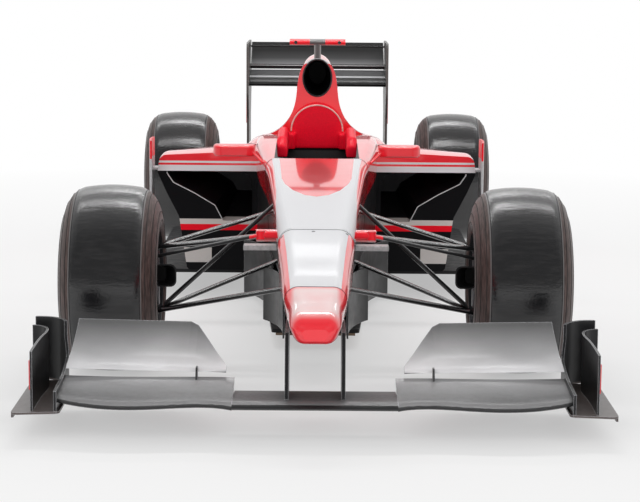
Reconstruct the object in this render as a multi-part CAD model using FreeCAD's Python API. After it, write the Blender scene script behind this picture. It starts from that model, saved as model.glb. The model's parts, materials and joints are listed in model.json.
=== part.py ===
import FreeCAD, Part
import math
import os

# Open wheel racing car of the early 2010s, in millimetres.
# The nose points along -Y, the rear wing along +Y, up is +Z, and the ground is z = 0.
# The origin lies on the ground on the centre plane, midway between the foremost and rearmost points.

V = FreeCAD.Vector
UP = V(0, 0, 1)
ACROSS = V(1, 0, 0)
ALONG = V(0, 1, 0)

# Driving dimensions of the whole car
wheelbase = 3300.0
front_overhang = 1118.0
rear_overhang = 600.0
tyre_outer_half_width = 890.0
ride_height = 48.0

# General walls and clearances
seat_gap = 0.3
running_gap = 0.1
swing_gap = 5.0
overrun = 20.0

front_axle_y = front_overhang - (front_overhang + wheelbase + rear_overhang) / 2


def at(x, behind, z):
    """A point given by its distance behind the front axle."""
    return V(x, front_axle_y + behind, z)


def rounded_wire(points, radii):
    """A closed wire through the corner points, with each corner rounded by its own radius."""
    count = len(points)
    starts = []
    middles = []
    ends = []
    for i, corner in enumerate(points):
        back = points[i - 1] - corner
        ahead = points[(i + 1) % count] - corner
        back.normalize()
        ahead.normalize()
        half_angle = back.getAngle(ahead) / 2
        reach = radii[i] / math.tan(half_angle)
        middle_way = back + ahead
        if radii[i] > 0:
            middle_way.normalize()
        starts.append(corner + back * reach)
        middles.append(corner + middle_way * (radii[i] / math.sin(half_angle) - radii[i]))
        ends.append(corner + ahead * reach)
    edges = []
    for i in range(count):
        edges.append(Part.LineSegment(ends[i - 1], starts[i]).toShape())
        if radii[i] > 0:
            edges.append(Part.Arc(starts[i], middles[i], ends[i]).toShape())
    return Part.Wire(edges)


def smooth_wire(points):
    """A closed smooth curve through the points."""
    curve = Part.BSplineCurve()
    curve.interpolate(points, PeriodicFlag=True)
    return Part.Wire([curve.toShape()])


def loft(wires, ruled=False):
    """A closed solid through the wires in turn."""
    return Part.makeLoft(wires, True, ruled)


def prism(wire, way):
    """The flat area inside a closed wire, pushed along a vector."""
    return Part.Face(wire).extrude(way)


def box(low, high):
    """A block between its lowest and highest corners."""
    size = high - low
    return Part.makeBox(size.x, size.y, size.z, low)


def cylinder(start, end, radius):
    """A round bar between two points."""
    way = end - start
    return Part.makeCylinder(radius, way.Length, start, way)


def ball(centre, radius):
    """A sphere."""
    return Part.makeSphere(radius, centre)


def ellipse_wire(centre, half_chord, half_thickness):
    """An upright ellipse across the car's X axis, longest along Y."""
    curve = Part.Ellipse(centre + ALONG * half_chord, centre + UP * half_thickness, centre)
    return Part.Wire([curve.toShape()])


def blade_bar(start, end, chord, thickness):
    """A streamlined suspension bar between two points at different X."""
    wires = [ellipse_wire(start, chord / 2, thickness / 2), ellipse_wire(end, chord / 2, thickness / 2)]
    return loft(wires, True)


def seated(shape, carriers):
    """A piece trimmed where it meets what carries it, without the scraps left inside the carriers."""
    trimmed = shape.cut(carriers)
    return max(trimmed.Solids, key=lambda solid: solid.Volume)


def mirrored(shape):
    """The same shape on the other side of the centre plane."""
    return shape.mirror(V(0, 0, 0), ACROSS)


def both_sides(shape):
    """A shape and its mirror image, as separate solids."""
    return Part.makeCompound([shape, mirrored(shape)])


def spin_ring(points, radii):
    """A ring turned about the X axis from a profile in the XZ plane."""
    return Part.Face(rounded_wire(points, radii)).revolve(V(0, 0, 0), ACROSS, 360)


def export(name, shape):
    """Write one sub-part."""
    shape.exportStep("parts/" + name + ".step")


# Floor, plank and diffuser
plank_thickness = 12.0
plank_half_width = 150.0
reference_plane_z = ride_height + plank_thickness
step_plane_rise = 50.0
floor_thickness = 15.0
tray_front = 380.0
tray_half_width = 165.0
tray_thickness = 15.0
floor_front = 1470.0
floor_half_width = 716.0
floor_waist_half_width = 490.0
floor_waist_start = 2780.0
floor_rear = wheelbase
floor_corner_radius = 90.0
floor_front_radius = 15.0
reference_half_width = 250.0
floor_top_z = reference_plane_z + step_plane_rise + floor_thickness

tray_edge_shares = ((0.0, 1.0), (0.40, 1.16), (0.75, 1.38), (1.0, 1.72))


def make_floor():
    """The splitter tray, the stepped floor behind it and its wide plan form, in one panel."""
    tray_length = floor_front - tray_front
    right_edge = []
    for along, wide in tray_edge_shares:
        right_edge.append(at(tray_half_width * wide, tray_front + tray_length * along, reference_plane_z))
    left_edge = [V(-p.x, p.y, p.z) for p in reversed(right_edge)]
    corners = right_edge + left_edge
    tray = prism(rounded_wire(corners, [tray_thickness] * len(corners)), UP * tray_thickness)
    step_z = reference_plane_z + step_plane_rise
    plan = [
        at(-floor_half_width, floor_front, step_z),
        at(floor_half_width, floor_front, step_z),
        at(floor_half_width, floor_waist_start, step_z),
        at(floor_waist_half_width, floor_waist_start + floor_half_width - floor_waist_half_width, step_z),
        at(floor_waist_half_width, floor_rear, step_z),
        at(-floor_waist_half_width, floor_rear, step_z),
        at(-floor_waist_half_width, floor_waist_start + floor_half_width - floor_waist_half_width, step_z),
        at(-floor_half_width, floor_waist_start, step_z),
    ]
    corner = floor_corner_radius
    radii = [floor_front_radius, floor_front_radius, corner, corner, 0, 0, corner, corner]
    panel = prism(rounded_wire(plan, radii), UP * floor_thickness)
    keel_low = at(-reference_half_width, floor_front, reference_plane_z)
    keel_high = at(reference_half_width, floor_rear, floor_top_z)
    return tray.fuse([panel, box(keel_low, keel_high)]).removeSplitter()


def make_plank():
    """The long skid block under the floor, with a rounded front edge."""
    low_z = reference_plane_z - plank_thickness
    profile = [
        at(-plank_half_width, tray_front + plank_thickness, low_z),
        at(-plank_half_width, floor_rear, low_z),
        at(-plank_half_width, floor_rear, reference_plane_z - seat_gap),
        at(-plank_half_width, tray_front, reference_plane_z - seat_gap),
    ]
    return prism(rounded_wire(profile, [0, 0, 0, 0]), ACROSS * (plank_half_width * 2))


diffuser_length = 350.0
diffuser_rise = 165.0
diffuser_skin = 8.0
diffuser_fence = 6.0
diffuser_half_width = 480.0
diffuser_strake_shares = (0.32, 0.66)
diffuser_bow_share = 0.25


def diffuser_curve(lift):
    """The rising roof line of the diffuser, as a wire edge on the car's right side."""
    start = at(-diffuser_half_width, floor_rear, reference_plane_z + step_plane_rise + lift)
    end = start + ALONG * diffuser_length + UP * (diffuser_rise - step_plane_rise)
    bow = (start + end) * 0.5 - UP * (diffuser_rise * diffuser_bow_share) / 2
    return start, bow, end


def make_diffuser():
    """The upswept tunnel behind the floor, with side fences and inner strakes."""
    low_start, low_bow, low_end = diffuser_curve(0)
    top_start, top_bow, top_end = diffuser_curve(diffuser_skin)
    skin = Part.Wire([
        Part.Arc(low_start, low_bow, low_end).toShape(),
        Part.LineSegment(low_end, top_end).toShape(),
        Part.Arc(top_end, top_bow, top_start).toShape(),
        Part.LineSegment(top_start, low_start).toShape(),
    ])
    roof = prism(skin, ACROSS * (diffuser_half_width * 2))
    fence_foot = low_start + UP * (reference_plane_z - low_start.z)
    fence_heel = fence_foot + ALONG * diffuser_length
    fence = Part.Wire([
        Part.Arc(low_start, low_bow, low_end).toShape(),
        Part.LineSegment(low_end, fence_heel).toShape(),
        Part.LineSegment(fence_heel, fence_foot).toShape(),
        Part.LineSegment(fence_foot, low_start).toShape(),
    ])
    one_fence = prism(fence, ACROSS * diffuser_fence)
    pieces = []
    inner_reach = diffuser_half_width - diffuser_fence / 2
    places = [inner_reach] + [inner_reach * share for share in diffuser_strake_shares]
    for place in places:
        for side in (-1, 1):
            piece = one_fence.copy()
            piece.translate(ACROSS * (inner_reach + side * place))
            pieces.append(piece)
    body = roof.fuse(pieces).removeSplitter()
    body.translate(ALONG * seat_gap)
    return body


# Monocoque, with the cockpit well and the raised front
tub_front = -380.0
tub_rear = 1660.0
tub_half_width = 262.0
tub_height = 700.0
tub_wall = 30.0
tub_top_radius = 42.0
tub_bottom_radius = 24.0
tank_rear = 2050.0
tank_half_width = 250.0
tank_height = 590.0
cockpit_front = 850.0
cockpit_rear = 1600.0
cockpit_half_width = 168.3
cockpit_floor_z = 165.0
cockpit_radius = 90.0
well_front_share = 0.92
access_half_width = 78.0
access_low_z = 370.0
access_high_z = 450.0
footwell_front = 60.0
footwell_half_width = 105.0
footwell_low_z = 360.0
footwell_high_z = 465.0
footwell_rear_shares = (0.72, 0.66)
keel_front = 430.0
keel_half_width = 130.0
rack_cover_chord = 66.0
rack_cover_height = 42.0
rack_cover_reach = 55.0

# Along, top half width, bottom half width, top height, bottom height
tub_shares = (
    (0.0, 0.500, 0.400, 0.804, 0.478),
    (0.187, 0.590, 0.480, 0.874, 0.465),
    (0.407, 0.690, 0.580, 0.928, 0.425),
    (0.603, 0.790, 0.690, 0.960, 0.355),
    (0.750, 0.905, 0.830, 0.985, 0.245),
    (0.897, 0.990, 0.960, 1.0, 0.177),
    (1.0, 1.0, 1.0, 0.995, 0.177),
)
# Along, half width, height of the keel's top above the tray
keel_shares = ((0.0, 0.12, 1.38), (0.35, 0.50, 1.24), (1.0, 1.0, 1.0))


def trapezium_wire(behind, half_top, half_bottom, top_z, bottom_z, top_radius, bottom_radius):
    """A body section across the car, wider or narrower at its foot."""
    points = [
        at(-half_bottom, behind, bottom_z),
        at(half_bottom, behind, bottom_z),
        at(half_top, behind, top_z),
        at(-half_top, behind, top_z),
    ]
    return rounded_wire(points, [bottom_radius, bottom_radius, top_radius, top_radius])


def make_monocoque():
    """The carbon tub: footwell, its access hole under the nose, open cockpit, tank bay, keel and rack covers."""
    length = tub_rear - tub_front
    wires = []
    for along, half_top, half_bottom, top, bottom in tub_shares:
        wires.append(trapezium_wire(
            tub_front + length * along,
            tub_half_width * half_top,
            tub_half_width * half_bottom,
            tub_height * top,
            max(tub_height * bottom, floor_top_z + seat_gap),
            tub_top_radius,
            tub_bottom_radius,
        ))
    body = loft(wires)
    tank = loft([
        trapezium_wire(place, tank_half_width, tank_half_width, tank_height, floor_top_z + seat_gap,
                       tub_top_radius, tub_bottom_radius)
        for place in (tub_rear - overrun, tank_rear)
    ])
    tray_top = reference_plane_z + tray_thickness + seat_gap
    keel_length = floor_front - seat_gap - keel_front
    keel_height = tub_height * tub_shares[3][4] - tray_top
    keel_wires = []
    for along, wide, high in keel_shares:
        half = keel_half_width * wide
        keel_wires.append(trapezium_wire(
            keel_front + keel_length * along, half, half, tray_top + keel_height * high, tray_top,
            half / 2, half / 4))
    keel = loft(keel_wires, True)
    body = body.fuse([tank, keel])
    well_plan = [
        at(-cockpit_half_width * well_front_share, cockpit_front, cockpit_floor_z),
        at(cockpit_half_width * well_front_share, cockpit_front, cockpit_floor_z),
        at(cockpit_half_width, (cockpit_front + cockpit_rear) / 2, cockpit_floor_z),
        at(cockpit_half_width, cockpit_rear, cockpit_floor_z),
        at(-cockpit_half_width, cockpit_rear, cockpit_floor_z),
        at(-cockpit_half_width, (cockpit_front + cockpit_rear) / 2, cockpit_floor_z),
    ]
    corner = cockpit_radius
    well = prism(rounded_wire(well_plan, [corner / 2, corner / 2, corner, tub_wall / 3, tub_wall / 3, corner]),
                 UP * tub_height)
    footwell = loft([
        trapezium_wire(footwell_front, footwell_half_width, footwell_half_width, footwell_high_z,
                       footwell_low_z, tub_wall, tub_wall),
        trapezium_wire(cockpit_front + cockpit_radius, cockpit_half_width * footwell_rear_shares[0],
                       cockpit_half_width * footwell_rear_shares[1], footwell_high_z + tub_wall,
                       footwell_low_z - tub_wall, tub_wall, tub_wall),
    ], True)
    access = prism(
        trapezium_wire(tub_front - overrun, access_half_width, access_half_width, access_high_z, access_low_z,
                       tub_wall / 2, tub_wall / 2),
        ALONG * (footwell_front - tub_front + overrun * 2),
    )
    rack_bore = cylinder(at(-tub_half_width, rack_behind, rack_z), at(tub_half_width, rack_behind, rack_z),
                         rack_radius + running_gap)
    for side in (-1, 1):
        root = at(side * upper_front_leg[0] / 2, upper_front_leg[1], upper_front_leg[2])
        tip = at(side * (upper_front_leg[0] + rack_cover_reach / 2), upper_front_leg[1], upper_front_leg[2])
        body = body.fuse(blade_bar(root, tip, rack_cover_chord, rack_cover_height))
    hub = at(0, wheel_centre_behind, wheel_centre_z)
    column_way = V(0, -math.cos(math.radians(wheel_tilt)), -math.sin(math.radians(wheel_tilt)))
    column_bore = cylinder(hub, hub + column_way * (column_length + seat_gap), column_radius + running_gap)
    return body.cut([well, footwell, access, rack_bore, column_bore]).removeSplitter()


# Nose cone
nose_tip = -front_overhang
nose_half_width = 132.0
nose_top_z = 563.0
nose_wall = 6.0
# Along from the tip, half width, top height, bottom height, width of the chin over the top's
nose_shares = (
    (0.0, 0.36, 0.645, 0.585, 0.62),
    (0.022, 0.61, 0.690, 0.562, 0.60),
    (0.085, 0.735, 0.732, 0.552, 0.62),
    (0.25, 0.785, 0.795, 0.566, 0.72),
    (0.55, 0.870, 0.885, 0.582, 0.86),
    (0.80, 0.945, 0.954, 0.592, 0.90),
    (1.0, 1.0, 1.0, 0.595, 0.90),
)
nose_corner_share = 0.42


def make_nose():
    """The drooping nose cone, blunt at its tip, that bolts to the front of the tub."""
    length = tub_front - seat_gap - nose_tip
    wires = []
    for along, wide, top, bottom, chin in nose_shares:
        half = nose_half_width * wide
        corner = min(half, nose_top_z * (top - bottom)) * nose_corner_share
        wires.append(trapezium_wire(nose_tip + length * along, half, half * chin,
                                    nose_top_z * top, nose_top_z * bottom, corner, corner))
    return loft(wires)


# Engine cover, with the air intake over the driver's head
cover_front = 1664.0
cover_rear = 3260.0
cover_height = 1027.0
cover_half_width = 300.0
intake_half_width = 62.0
intake_half_height = 80.0
intake_centre_z = 942.0
intake_depth = 380.0
intake_throat_share = 0.62
intake_points = 16
crown_round_shares = (0.72, 0.35)
bell_shares = (0.45, 0.75)
skirt_share = 0.90

# Along, crown height, crown half width, neck half width, neck height, shoulder half width, shoulder height, foot height
cover_shares = (
    (0.0, 1.0, 0.270, 0.330, 0.800, 0.900, 0.655, 0.560),
    (0.10, 1.0, 0.262, 0.330, 0.780, 1.040, 0.640, 0.540),
    (0.28, 0.985, 0.150, 0.250, 0.740, 1.060, 0.615, 0.500),
    (0.50, 0.820, 0.070, 0.180, 0.680, 0.820, 0.570, 0.440),
    (0.75, 0.660, 0.055, 0.150, 0.560, 0.520, 0.460, 0.370),
    (1.0, 0.480, 0.050, 0.120, 0.430, 0.330, 0.370, 0.325),
)


def cover_wire(row):
    """One bell shaped section of the engine cover."""
    along, crown, crown_half, neck_half, neck, shoulder_half, shoulder, foot = row
    behind = cover_front + (cover_rear - cover_front) * along
    high = cover_height
    wide = cover_half_width
    foot_z = high * foot
    top = high * crown
    round_across, round_down = crown_round_shares
    bell_out, bell_down = bell_shares
    waist = neck_half + (shoulder_half - neck_half) * bell_out
    half = [
        (0, top),
        (wide * crown_half * round_across, top - wide * crown_half * round_down),
        (wide * crown_half, top - wide * crown_half),
        (wide * neck_half, high * neck),
        (wide * waist, high * (neck + (shoulder - neck) * bell_down)),
        (wide * shoulder_half * skirt_share, high * shoulder),
        (wide * shoulder_half, high * (shoulder + (foot - shoulder) * bell_out)),
        (wide * shoulder_half * skirt_share, foot_z),
    ]
    right = [at(x, behind, z) for x, z in half]
    left = [at(-x, behind, z) for x, z in reversed(half[1:])]
    curve = Part.BSplineCurve()
    curve.interpolate(left + right)
    ends = [curve.parameter(point) for point in left + right]
    pieces = [curve.toShape(start, end) for start, end in zip(ends, ends[1:])]
    return Part.Wire(pieces + [Part.LineSegment(right[-1], left[0]).toShape()])


def make_engine_cover():
    """The bell shaped cover that carries the air intake and runs down to the gearbox."""
    body = loft([cover_wire(row) for row in cover_shares])
    mouth = []
    for share, behind in ((1.0, cover_front - overrun), (intake_throat_share, cover_front + intake_depth)):
        points = []
        for step in range(intake_points):
            turn = 2 * math.pi * step / intake_points
            points.append(at(intake_half_width * share * math.cos(turn), behind,
                             intake_centre_z + intake_half_height * share * math.sin(turn)))
        mouth.append(smooth_wire(points))
    return body.cut(loft(mouth))


# Sidepods
pod_front = 1450.0
pod_rear = 3010.0
pod_half_width = 682.0
pod_height = 662.0
inlet_depth = 430.0
inlet_inner = 276.0

# Along, then the inner top, outer top, lip, flank, undercut and foot corners as (half width, height) pairs
pod_shares = (
    (0.0, 0.330, 0.972, 0.985, 0.938, 1.0, 0.828, 0.945, 0.700, 0.865, 0.540, 0.815, 0.20),
    (0.10, 0.330, 0.990, 0.985, 0.940, 1.0, 0.820, 0.945, 0.680, 0.800, 0.500, 0.740, 0.20),
    (0.28, 0.330, 0.965, 0.940, 0.890, 0.960, 0.760, 0.900, 0.600, 0.700, 0.430, 0.600, 0.20),
    (0.50, 0.300, 0.850, 0.790, 0.770, 0.830, 0.640, 0.760, 0.480, 0.580, 0.360, 0.510, 0.20),
    (0.72, 0.270, 0.680, 0.580, 0.620, 0.620, 0.520, 0.570, 0.400, 0.470, 0.310, 0.430, 0.20),
    (1.0, 0.160, 0.480, 0.330, 0.450, 0.360, 0.390, 0.340, 0.320, 0.300, 0.260, 0.280, 0.20),
)
pod_corner_shares = (0.010, 0.048, 0.040, 0.050, 0.060, 0.030, 0.015, 0.010)
# Corners of the inlet's mouth as (half width, height) shares
inlet_shares = ((0.955, 0.835), (0.905, 0.760), (0.770, 0.690), (0.640, 0.610), (0.590, 0.510))
inlet_low_share = 0.51
inlet_high_share = 0.835
inlet_corner_share = 0.012
inlet_round_share = 0.085
# Along the inlet's depth, size of its section
inlet_throat_shares = ((-0.05, 1.0), (0.5, 0.86), (1.0, 0.62))


def pod_wire(row):
    """One section of a sidepod on the car's left side, from the inner foot round to the outer foot."""
    along = row[0]
    behind = pod_front + (pod_rear - pod_front) * along
    inner = pod_half_width * row[1]
    corners = [(inner, pod_height * row[2])]
    for i in range(3, 13, 2):
        corners.append((pod_half_width * row[i], pod_height * row[i + 1]))
    corners[-1] = (corners[-1][0], floor_top_z + seat_gap)
    points = [at(x, behind, z) for x, z in corners]
    points.append(at(inner, behind, floor_top_z + seat_gap))
    radii = [pod_half_width * share for share in pod_corner_shares[:len(points)]]
    return rounded_wire(points, radii)


def inlet_wire(behind, share):
    """The inlet's mouth, shrunk about its inner top corner by a share."""
    keep_z = pod_height * inlet_high_share
    corners = [(inlet_inner, pod_height * inlet_low_share), (inlet_inner, keep_z)]
    corners += [(pod_half_width * wide, pod_height * high) for wide, high in inlet_shares]
    points = []
    for x, z in corners:
        points.append(at(inlet_inner + (x - inlet_inner) * share, behind, keep_z + (z - keep_z) * share))
    radii = [pod_half_width * inlet_corner_share * share] * len(points)
    radii[1] = pod_half_width * inlet_round_share * share
    return rounded_wire(points, radii)


def make_sidepod():
    """The left sidepod with its hollow radiator inlet under a wide flat lip."""
    body = loft([pod_wire(row) for row in pod_shares])
    inlet = loft([inlet_wire(pod_front + inlet_depth * along, share) for along, share in inlet_throat_shares])
    return body.cut(inlet)


# Headrest, seat and steering wheel
headrest_thickness = 72.0
headrest_half_width = 116.0
headrest_top_z = 832.0
headrest_front = 1592.0
pad_front = 1215.0
pad_top_z = 735.0
pad_low_z = 640.0
pad_outer = 168.0
pad_width = 46.0
pad_round_share = 0.9
web_height_share = 0.7


def make_headrest():
    """The removable collar: a rounded back pad and a padded arm on each side of the helmet."""
    back_low = pad_low_z
    arch_z = headrest_top_z - headrest_half_width
    start = at(-headrest_half_width, headrest_front, back_low)
    end = at(headrest_half_width, headrest_front, back_low)
    left_spring = at(-headrest_half_width, headrest_front, arch_z)
    right_spring = at(headrest_half_width, headrest_front, arch_z)
    crown = at(0, headrest_front, headrest_top_z)
    outline = Part.Wire([
        Part.LineSegment(start, end).toShape(),
        Part.LineSegment(end, right_spring).toShape(),
        Part.Arc(right_spring, crown, left_spring).toShape(),
        Part.LineSegment(left_spring, start).toShape(),
    ])
    back = prism(outline, ALONG * (headrest_thickness - seat_gap))
    middle = pad_outer - pad_width / 2
    arch = pad_width / 2
    wires = []
    for place, top in ((pad_front, pad_low_z + pad_width), (pad_front + pad_width, pad_top_z - arch / 2),
                       (headrest_front - pad_width, pad_top_z), (headrest_front + seat_gap, pad_top_z)):
        wires.append(rounded_wire([
            at(middle - arch, place, pad_low_z),
            at(middle + arch, place, pad_low_z),
            at(middle + arch, place, top),
            at(middle - arch, place, top),
        ], [0, 0, arch * pad_round_share, arch * pad_round_share]))
    web_points = [
        at(headrest_half_width - pad_width / 2, headrest_front - pad_width, pad_low_z),
        at(middle, headrest_front - pad_width, pad_low_z),
        at(middle, headrest_front + headrest_thickness / 2, pad_low_z),
        at(headrest_half_width - pad_width / 2, headrest_front + headrest_thickness / 2, pad_low_z),
    ]
    web = prism(rounded_wire(web_points, [arch / 2, 0, 0, 0]), UP * ((pad_top_z - pad_low_z) * web_height_share))
    arm = loft(wires, True).fuse(web)
    return back.fuse([arm, mirrored(arm)]).removeSplitter()


seat_thickness = 12.0
seat_half_width = 160.0
seat_front = 905.0
seat_back_top_z = 632.0
seat_recline = 210.0
seat_side_z = 330.0


def make_seat():
    """The one piece bucket seat: a reclined back, a raised front for the thighs and low sides."""
    base_z = cockpit_floor_z + seat_gap
    back_x = -seat_half_width
    line = [
        at(back_x, seat_front, base_z + seat_recline * 0.55),
        at(back_x, seat_front + seat_recline * 1.15, base_z + seat_thickness),
        at(back_x, headrest_front - seat_recline * 0.95, base_z + seat_thickness * 1.5),
        at(back_x, headrest_front - seat_thickness, seat_back_top_z),
    ]
    low = [p - UP * seat_thickness for p in line]
    low[-1] = line[-1] + ALONG * seat_thickness
    low[2] = line[2] + ALONG * seat_thickness - UP * seat_thickness
    points = line + list(reversed(low))
    bend = seat_recline * 0.35
    radii = [0, bend, bend, 0, 0, bend + seat_thickness, bend + seat_thickness, 0]
    shell = prism(rounded_wire(points, radii), ACROSS * (seat_half_width * 2))
    side_points = [line[1], line[2], line[3], at(back_x, headrest_front - seat_recline, seat_back_top_z),
                   at(back_x, seat_front + seat_recline * 1.5, seat_side_z)]
    side = prism(rounded_wire(side_points, [0, bend, 0, 0, bend]), ACROSS * seat_thickness)
    other = side.copy()
    other.translate(ACROSS * (seat_half_width * 2 - seat_thickness))
    return shell.fuse([side, other]).removeSplitter()


wheel_centre_behind = 1010.0
wheel_centre_z = 563.0
wheel_width = 260.0
wheel_height = 150.0
wheel_thickness = 24.0
wheel_tilt = 12.0
column_radius = 14.0
column_length = 195.0
grip_radius = 15.0


def make_steering_wheel():
    """A rectangular steering wheel with two grips, its hub and the end of its column."""
    half_wide = wheel_width / 2 - grip_radius
    half_high = wheel_height / 2
    points = [
        V(-half_wide, 0, -half_high * 0.62),
        V(half_wide, 0, -half_high * 0.62),
        V(half_wide, 0, half_high * 0.72),
        V(half_wide * 0.5, 0, half_high * 0.9),
        V(-half_wide * 0.5, 0, half_high * 0.9),
        V(-half_wide, 0, half_high * 0.72),
    ]
    plate = prism(rounded_wire(points, [grip_radius] * len(points)), ALONG * wheel_thickness)
    grips = []
    for side in (-1, 1):
        low = V(side * half_wide, wheel_thickness / 2, -half_high)
        high = V(side * half_wide, wheel_thickness / 2, half_high * 0.86)
        grips.append(cylinder(low, high, grip_radius))
        grips.append(ball(low, grip_radius))
        grips.append(ball(high, grip_radius))
    hub = cylinder(V(0, wheel_thickness * 0.5, 0), V(0, -column_length, 0), column_radius)
    wheel = plate.fuse(grips + [hub]).removeSplitter()
    wheel.rotate(V(0, 0, 0), ACROSS, wheel_tilt)
    wheel.translate(at(0, wheel_centre_behind, wheel_centre_z))
    return wheel


# Mirrors, camera pod
mirror_inner = 250.0
mirror_outer = 416.0
mirror_height = 48.0
mirror_depth = 70.0
mirror_behind = 960.0
mirror_low_z = 664.0
mirror_stalk = 16.0
# Size of the housing's section, and its place along the depth
mirror_shares = ((0.62, 0.0), (0.86, 0.14), (1.0, 0.45), (1.0, 1.0))
mirror_corner_share = 0.5
mirror_root_shares = (0.80, 0.90)


def make_mirrors():
    """Two mirror housings, each on a stalk from the cockpit's side."""
    half_high = mirror_height / 2
    wires = []
    for share, place in mirror_shares:
        margin = (mirror_outer - mirror_inner) * (1 - share) / 2
        low_z = mirror_low_z + half_high * (1 - share)
        points = [
            at(mirror_inner + margin, mirror_behind + mirror_depth * place, low_z),
            at(mirror_outer - margin, mirror_behind + mirror_depth * place, low_z),
            at(mirror_outer - margin, mirror_behind + mirror_depth * place, low_z + mirror_height * share),
            at(mirror_inner + margin, mirror_behind + mirror_depth * place, low_z + mirror_height * share),
        ]
        wires.append(rounded_wire(points, [half_high * mirror_corner_share * share] * len(points)))
    housing = loft(wires)
    root_out, root_up = mirror_root_shares
    root = at(tub_half_width * root_out, mirror_behind + mirror_depth / 2, tub_height * root_up)
    tip = at(mirror_inner + mirror_stalk, mirror_behind + mirror_depth / 2, mirror_low_z + half_high)
    stalk = blade_bar(root, tip, mirror_stalk * 3, mirror_stalk)
    return housing.fuse(stalk)


camera_width = 244.0
camera_chord = 110.0
camera_thickness = 26.0
camera_behind = 1730.0
camera_z = 1095.0
camera_stem_width = 30.0


def make_camera_pod():
    """The T shaped camera carrier over the air intake."""
    half = camera_width / 2
    bar = blade_bar(at(-half, camera_behind, camera_z), at(half, camera_behind, camera_z),
                    camera_chord, camera_thickness)
    stem_wires = []
    for z in (cover_height * 0.975, camera_z):
        curve = Part.Ellipse(at(0, camera_behind + camera_chord * 0.45, z),
                             at(camera_stem_width / 2, camera_behind, z), at(0, camera_behind, z))
        stem_wires.append(Part.Wire([curve.toShape()]))
    return bar.fuse(loft(stem_wires, True))


# Front wing
wing_half_span = 915.0
neutral_half_width = 250.0
neutral_chord = 235.0
neutral_thickness = 22.0
neutral_z = 122.0
plane_chord = 245.0
plane_thickness = 17.0
plane_rise = 45.0
plane_tip_sweep = 50.0
plane_tip_taper = 30.0
plane_tip_flattening = 12.0
plane_hollow = 6.0
plane_drop = 5.0
plane_tip_rise = 11.0
endplate_x = 778.0
flap_thickness = 9.0
flap_root_x = 278.0
flap_front = -862.0
flap_front_z = 178.0
flap_chord = 350.0
flap_rise = 92.0
flap_hollow = 15.0
flap_tip_rise = 7.0
flap_full_chord_x = 408.0

# Out along the span, lift and sweep of the section
plane_shares = ((0.0, 0.0), (0.5, 0.0), (0.79, 0.18), (0.92, 0.62), (1.0, 1.0))
# Out from the flap's root to its full chord, chord of the section
flap_root_shares = ((0.0, 0.12), (0.25, 0.36), (0.5, 0.62), (0.8, 0.92), (1.0, 1.0))

# The upper and lower surfaces of a wing section as (along the chord, height over the thickness) shares
aerofoil_top_shares = ((0.0, 0.0), (0.06, 0.42), (0.30, 0.62), (0.65, 0.42), (1.0, 0.06))
aerofoil_low_shares = ((0.92, -0.10), (0.60, -0.34), (0.25, -0.42), (0.04, -0.30))


def section_wire(x, behind, z, chord, thickness, rise, hollow):
    """A cambered wing section in a fore and aft plane, rising towards its trailing edge."""
    points = []
    for along, high in aerofoil_top_shares + aerofoil_low_shares:
        camber = rise * along - hollow * 4 * along * (1 - along)
        points.append(at(x, behind + chord * along, z + camber + thickness * high))
    top_count = len(aerofoil_top_shares)
    top = Part.BSplineCurve()
    top.interpolate(points[:top_count])
    low = Part.BSplineCurve()
    low.interpolate([points[top_count - 1] - UP * (thickness * 0.12)] + points[top_count:] + [points[0]])
    tail = Part.LineSegment(points[top_count - 1], points[top_count - 1] - UP * (thickness * 0.12))
    return Part.Wire([top.toShape(), tail.toShape(), low.toShape()])


def make_front_wing_main():
    """The neutral centre section and the two loaded main planes outboard of it."""
    nose_edge = -front_overhang
    centre = loft([
        section_wire(x, nose_edge, neutral_z, neutral_chord, neutral_thickness, 0, 0)
        for x in (-neutral_half_width, neutral_half_width)
    ], True)
    span = endplate_x + endplate_thickness / 2 - neutral_half_width
    wires = []
    for out, lift in plane_shares:
        x = neutral_half_width + span * out
        wires.append(section_wire(x, nose_edge + plane_tip_sweep * lift,
                                  neutral_z - plane_drop + plane_tip_rise * lift,
                                  plane_chord - plane_tip_taper * lift, plane_thickness,
                                  plane_rise - plane_tip_flattening * lift, plane_hollow))
    right = loft(wires)
    return centre.fuse([right, mirrored(right)]).removeSplitter()


def make_front_flap():
    """The large cambered flap behind the left main plane, swept away at its inner end."""
    stations = [(flap_root_x + (flap_full_chord_x - flap_root_x) * out, share, 0) for out, share in flap_root_shares]
    stations.append(((flap_full_chord_x + endplate_x) / 2, 1, flap_tip_rise / 2))
    stations.append((endplate_x - seat_gap, 1, flap_tip_rise))
    wires = []
    for x, share, lift in stations:
        wires.append(section_wire(x, flap_front, flap_front_z + lift, flap_chord * share, flap_thickness,
                                  flap_rise * share, flap_hollow * share))
    return loft(wires, True)


bracket_x = 366.0
bracket_thickness = 6.0
bracket_height = 66.0
bracket_length = 60.0
bracket_drop = 50.0
# Along the length, and up the height, of the bracket's corners
bracket_shares = ((-0.8, 0.0), (0.1, 0.0), (0.3, 1.0), (-0.2, 1.0))


def make_flap_bracket():
    """The thin plate that ties the flap's front edge to the main plane's rear edge."""
    low_z = flap_front_z - bracket_drop
    points = []
    for along, up in bracket_shares:
        points.append(at(bracket_x, flap_front + bracket_length * along, low_z + bracket_height * up))
    return prism(rounded_wire(points, [bracket_thickness] * len(points)), ACROSS * bracket_thickness)


endplate_thickness = 9.0
endplate_low_z = 92.0
endplate_top_z = 303.0
endplate_curl_reach = 122.0
endplate_rear = -610.0
vane_x = 853.0
vane_height = 283.0
vane_thickness = 7.0
foot_thickness = 7.0
foot_inner_x = 770.0
foot_front = -1100.0
foot_rear = -640.0
foot_hook = 20.0
foot_edge = 12.0
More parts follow.
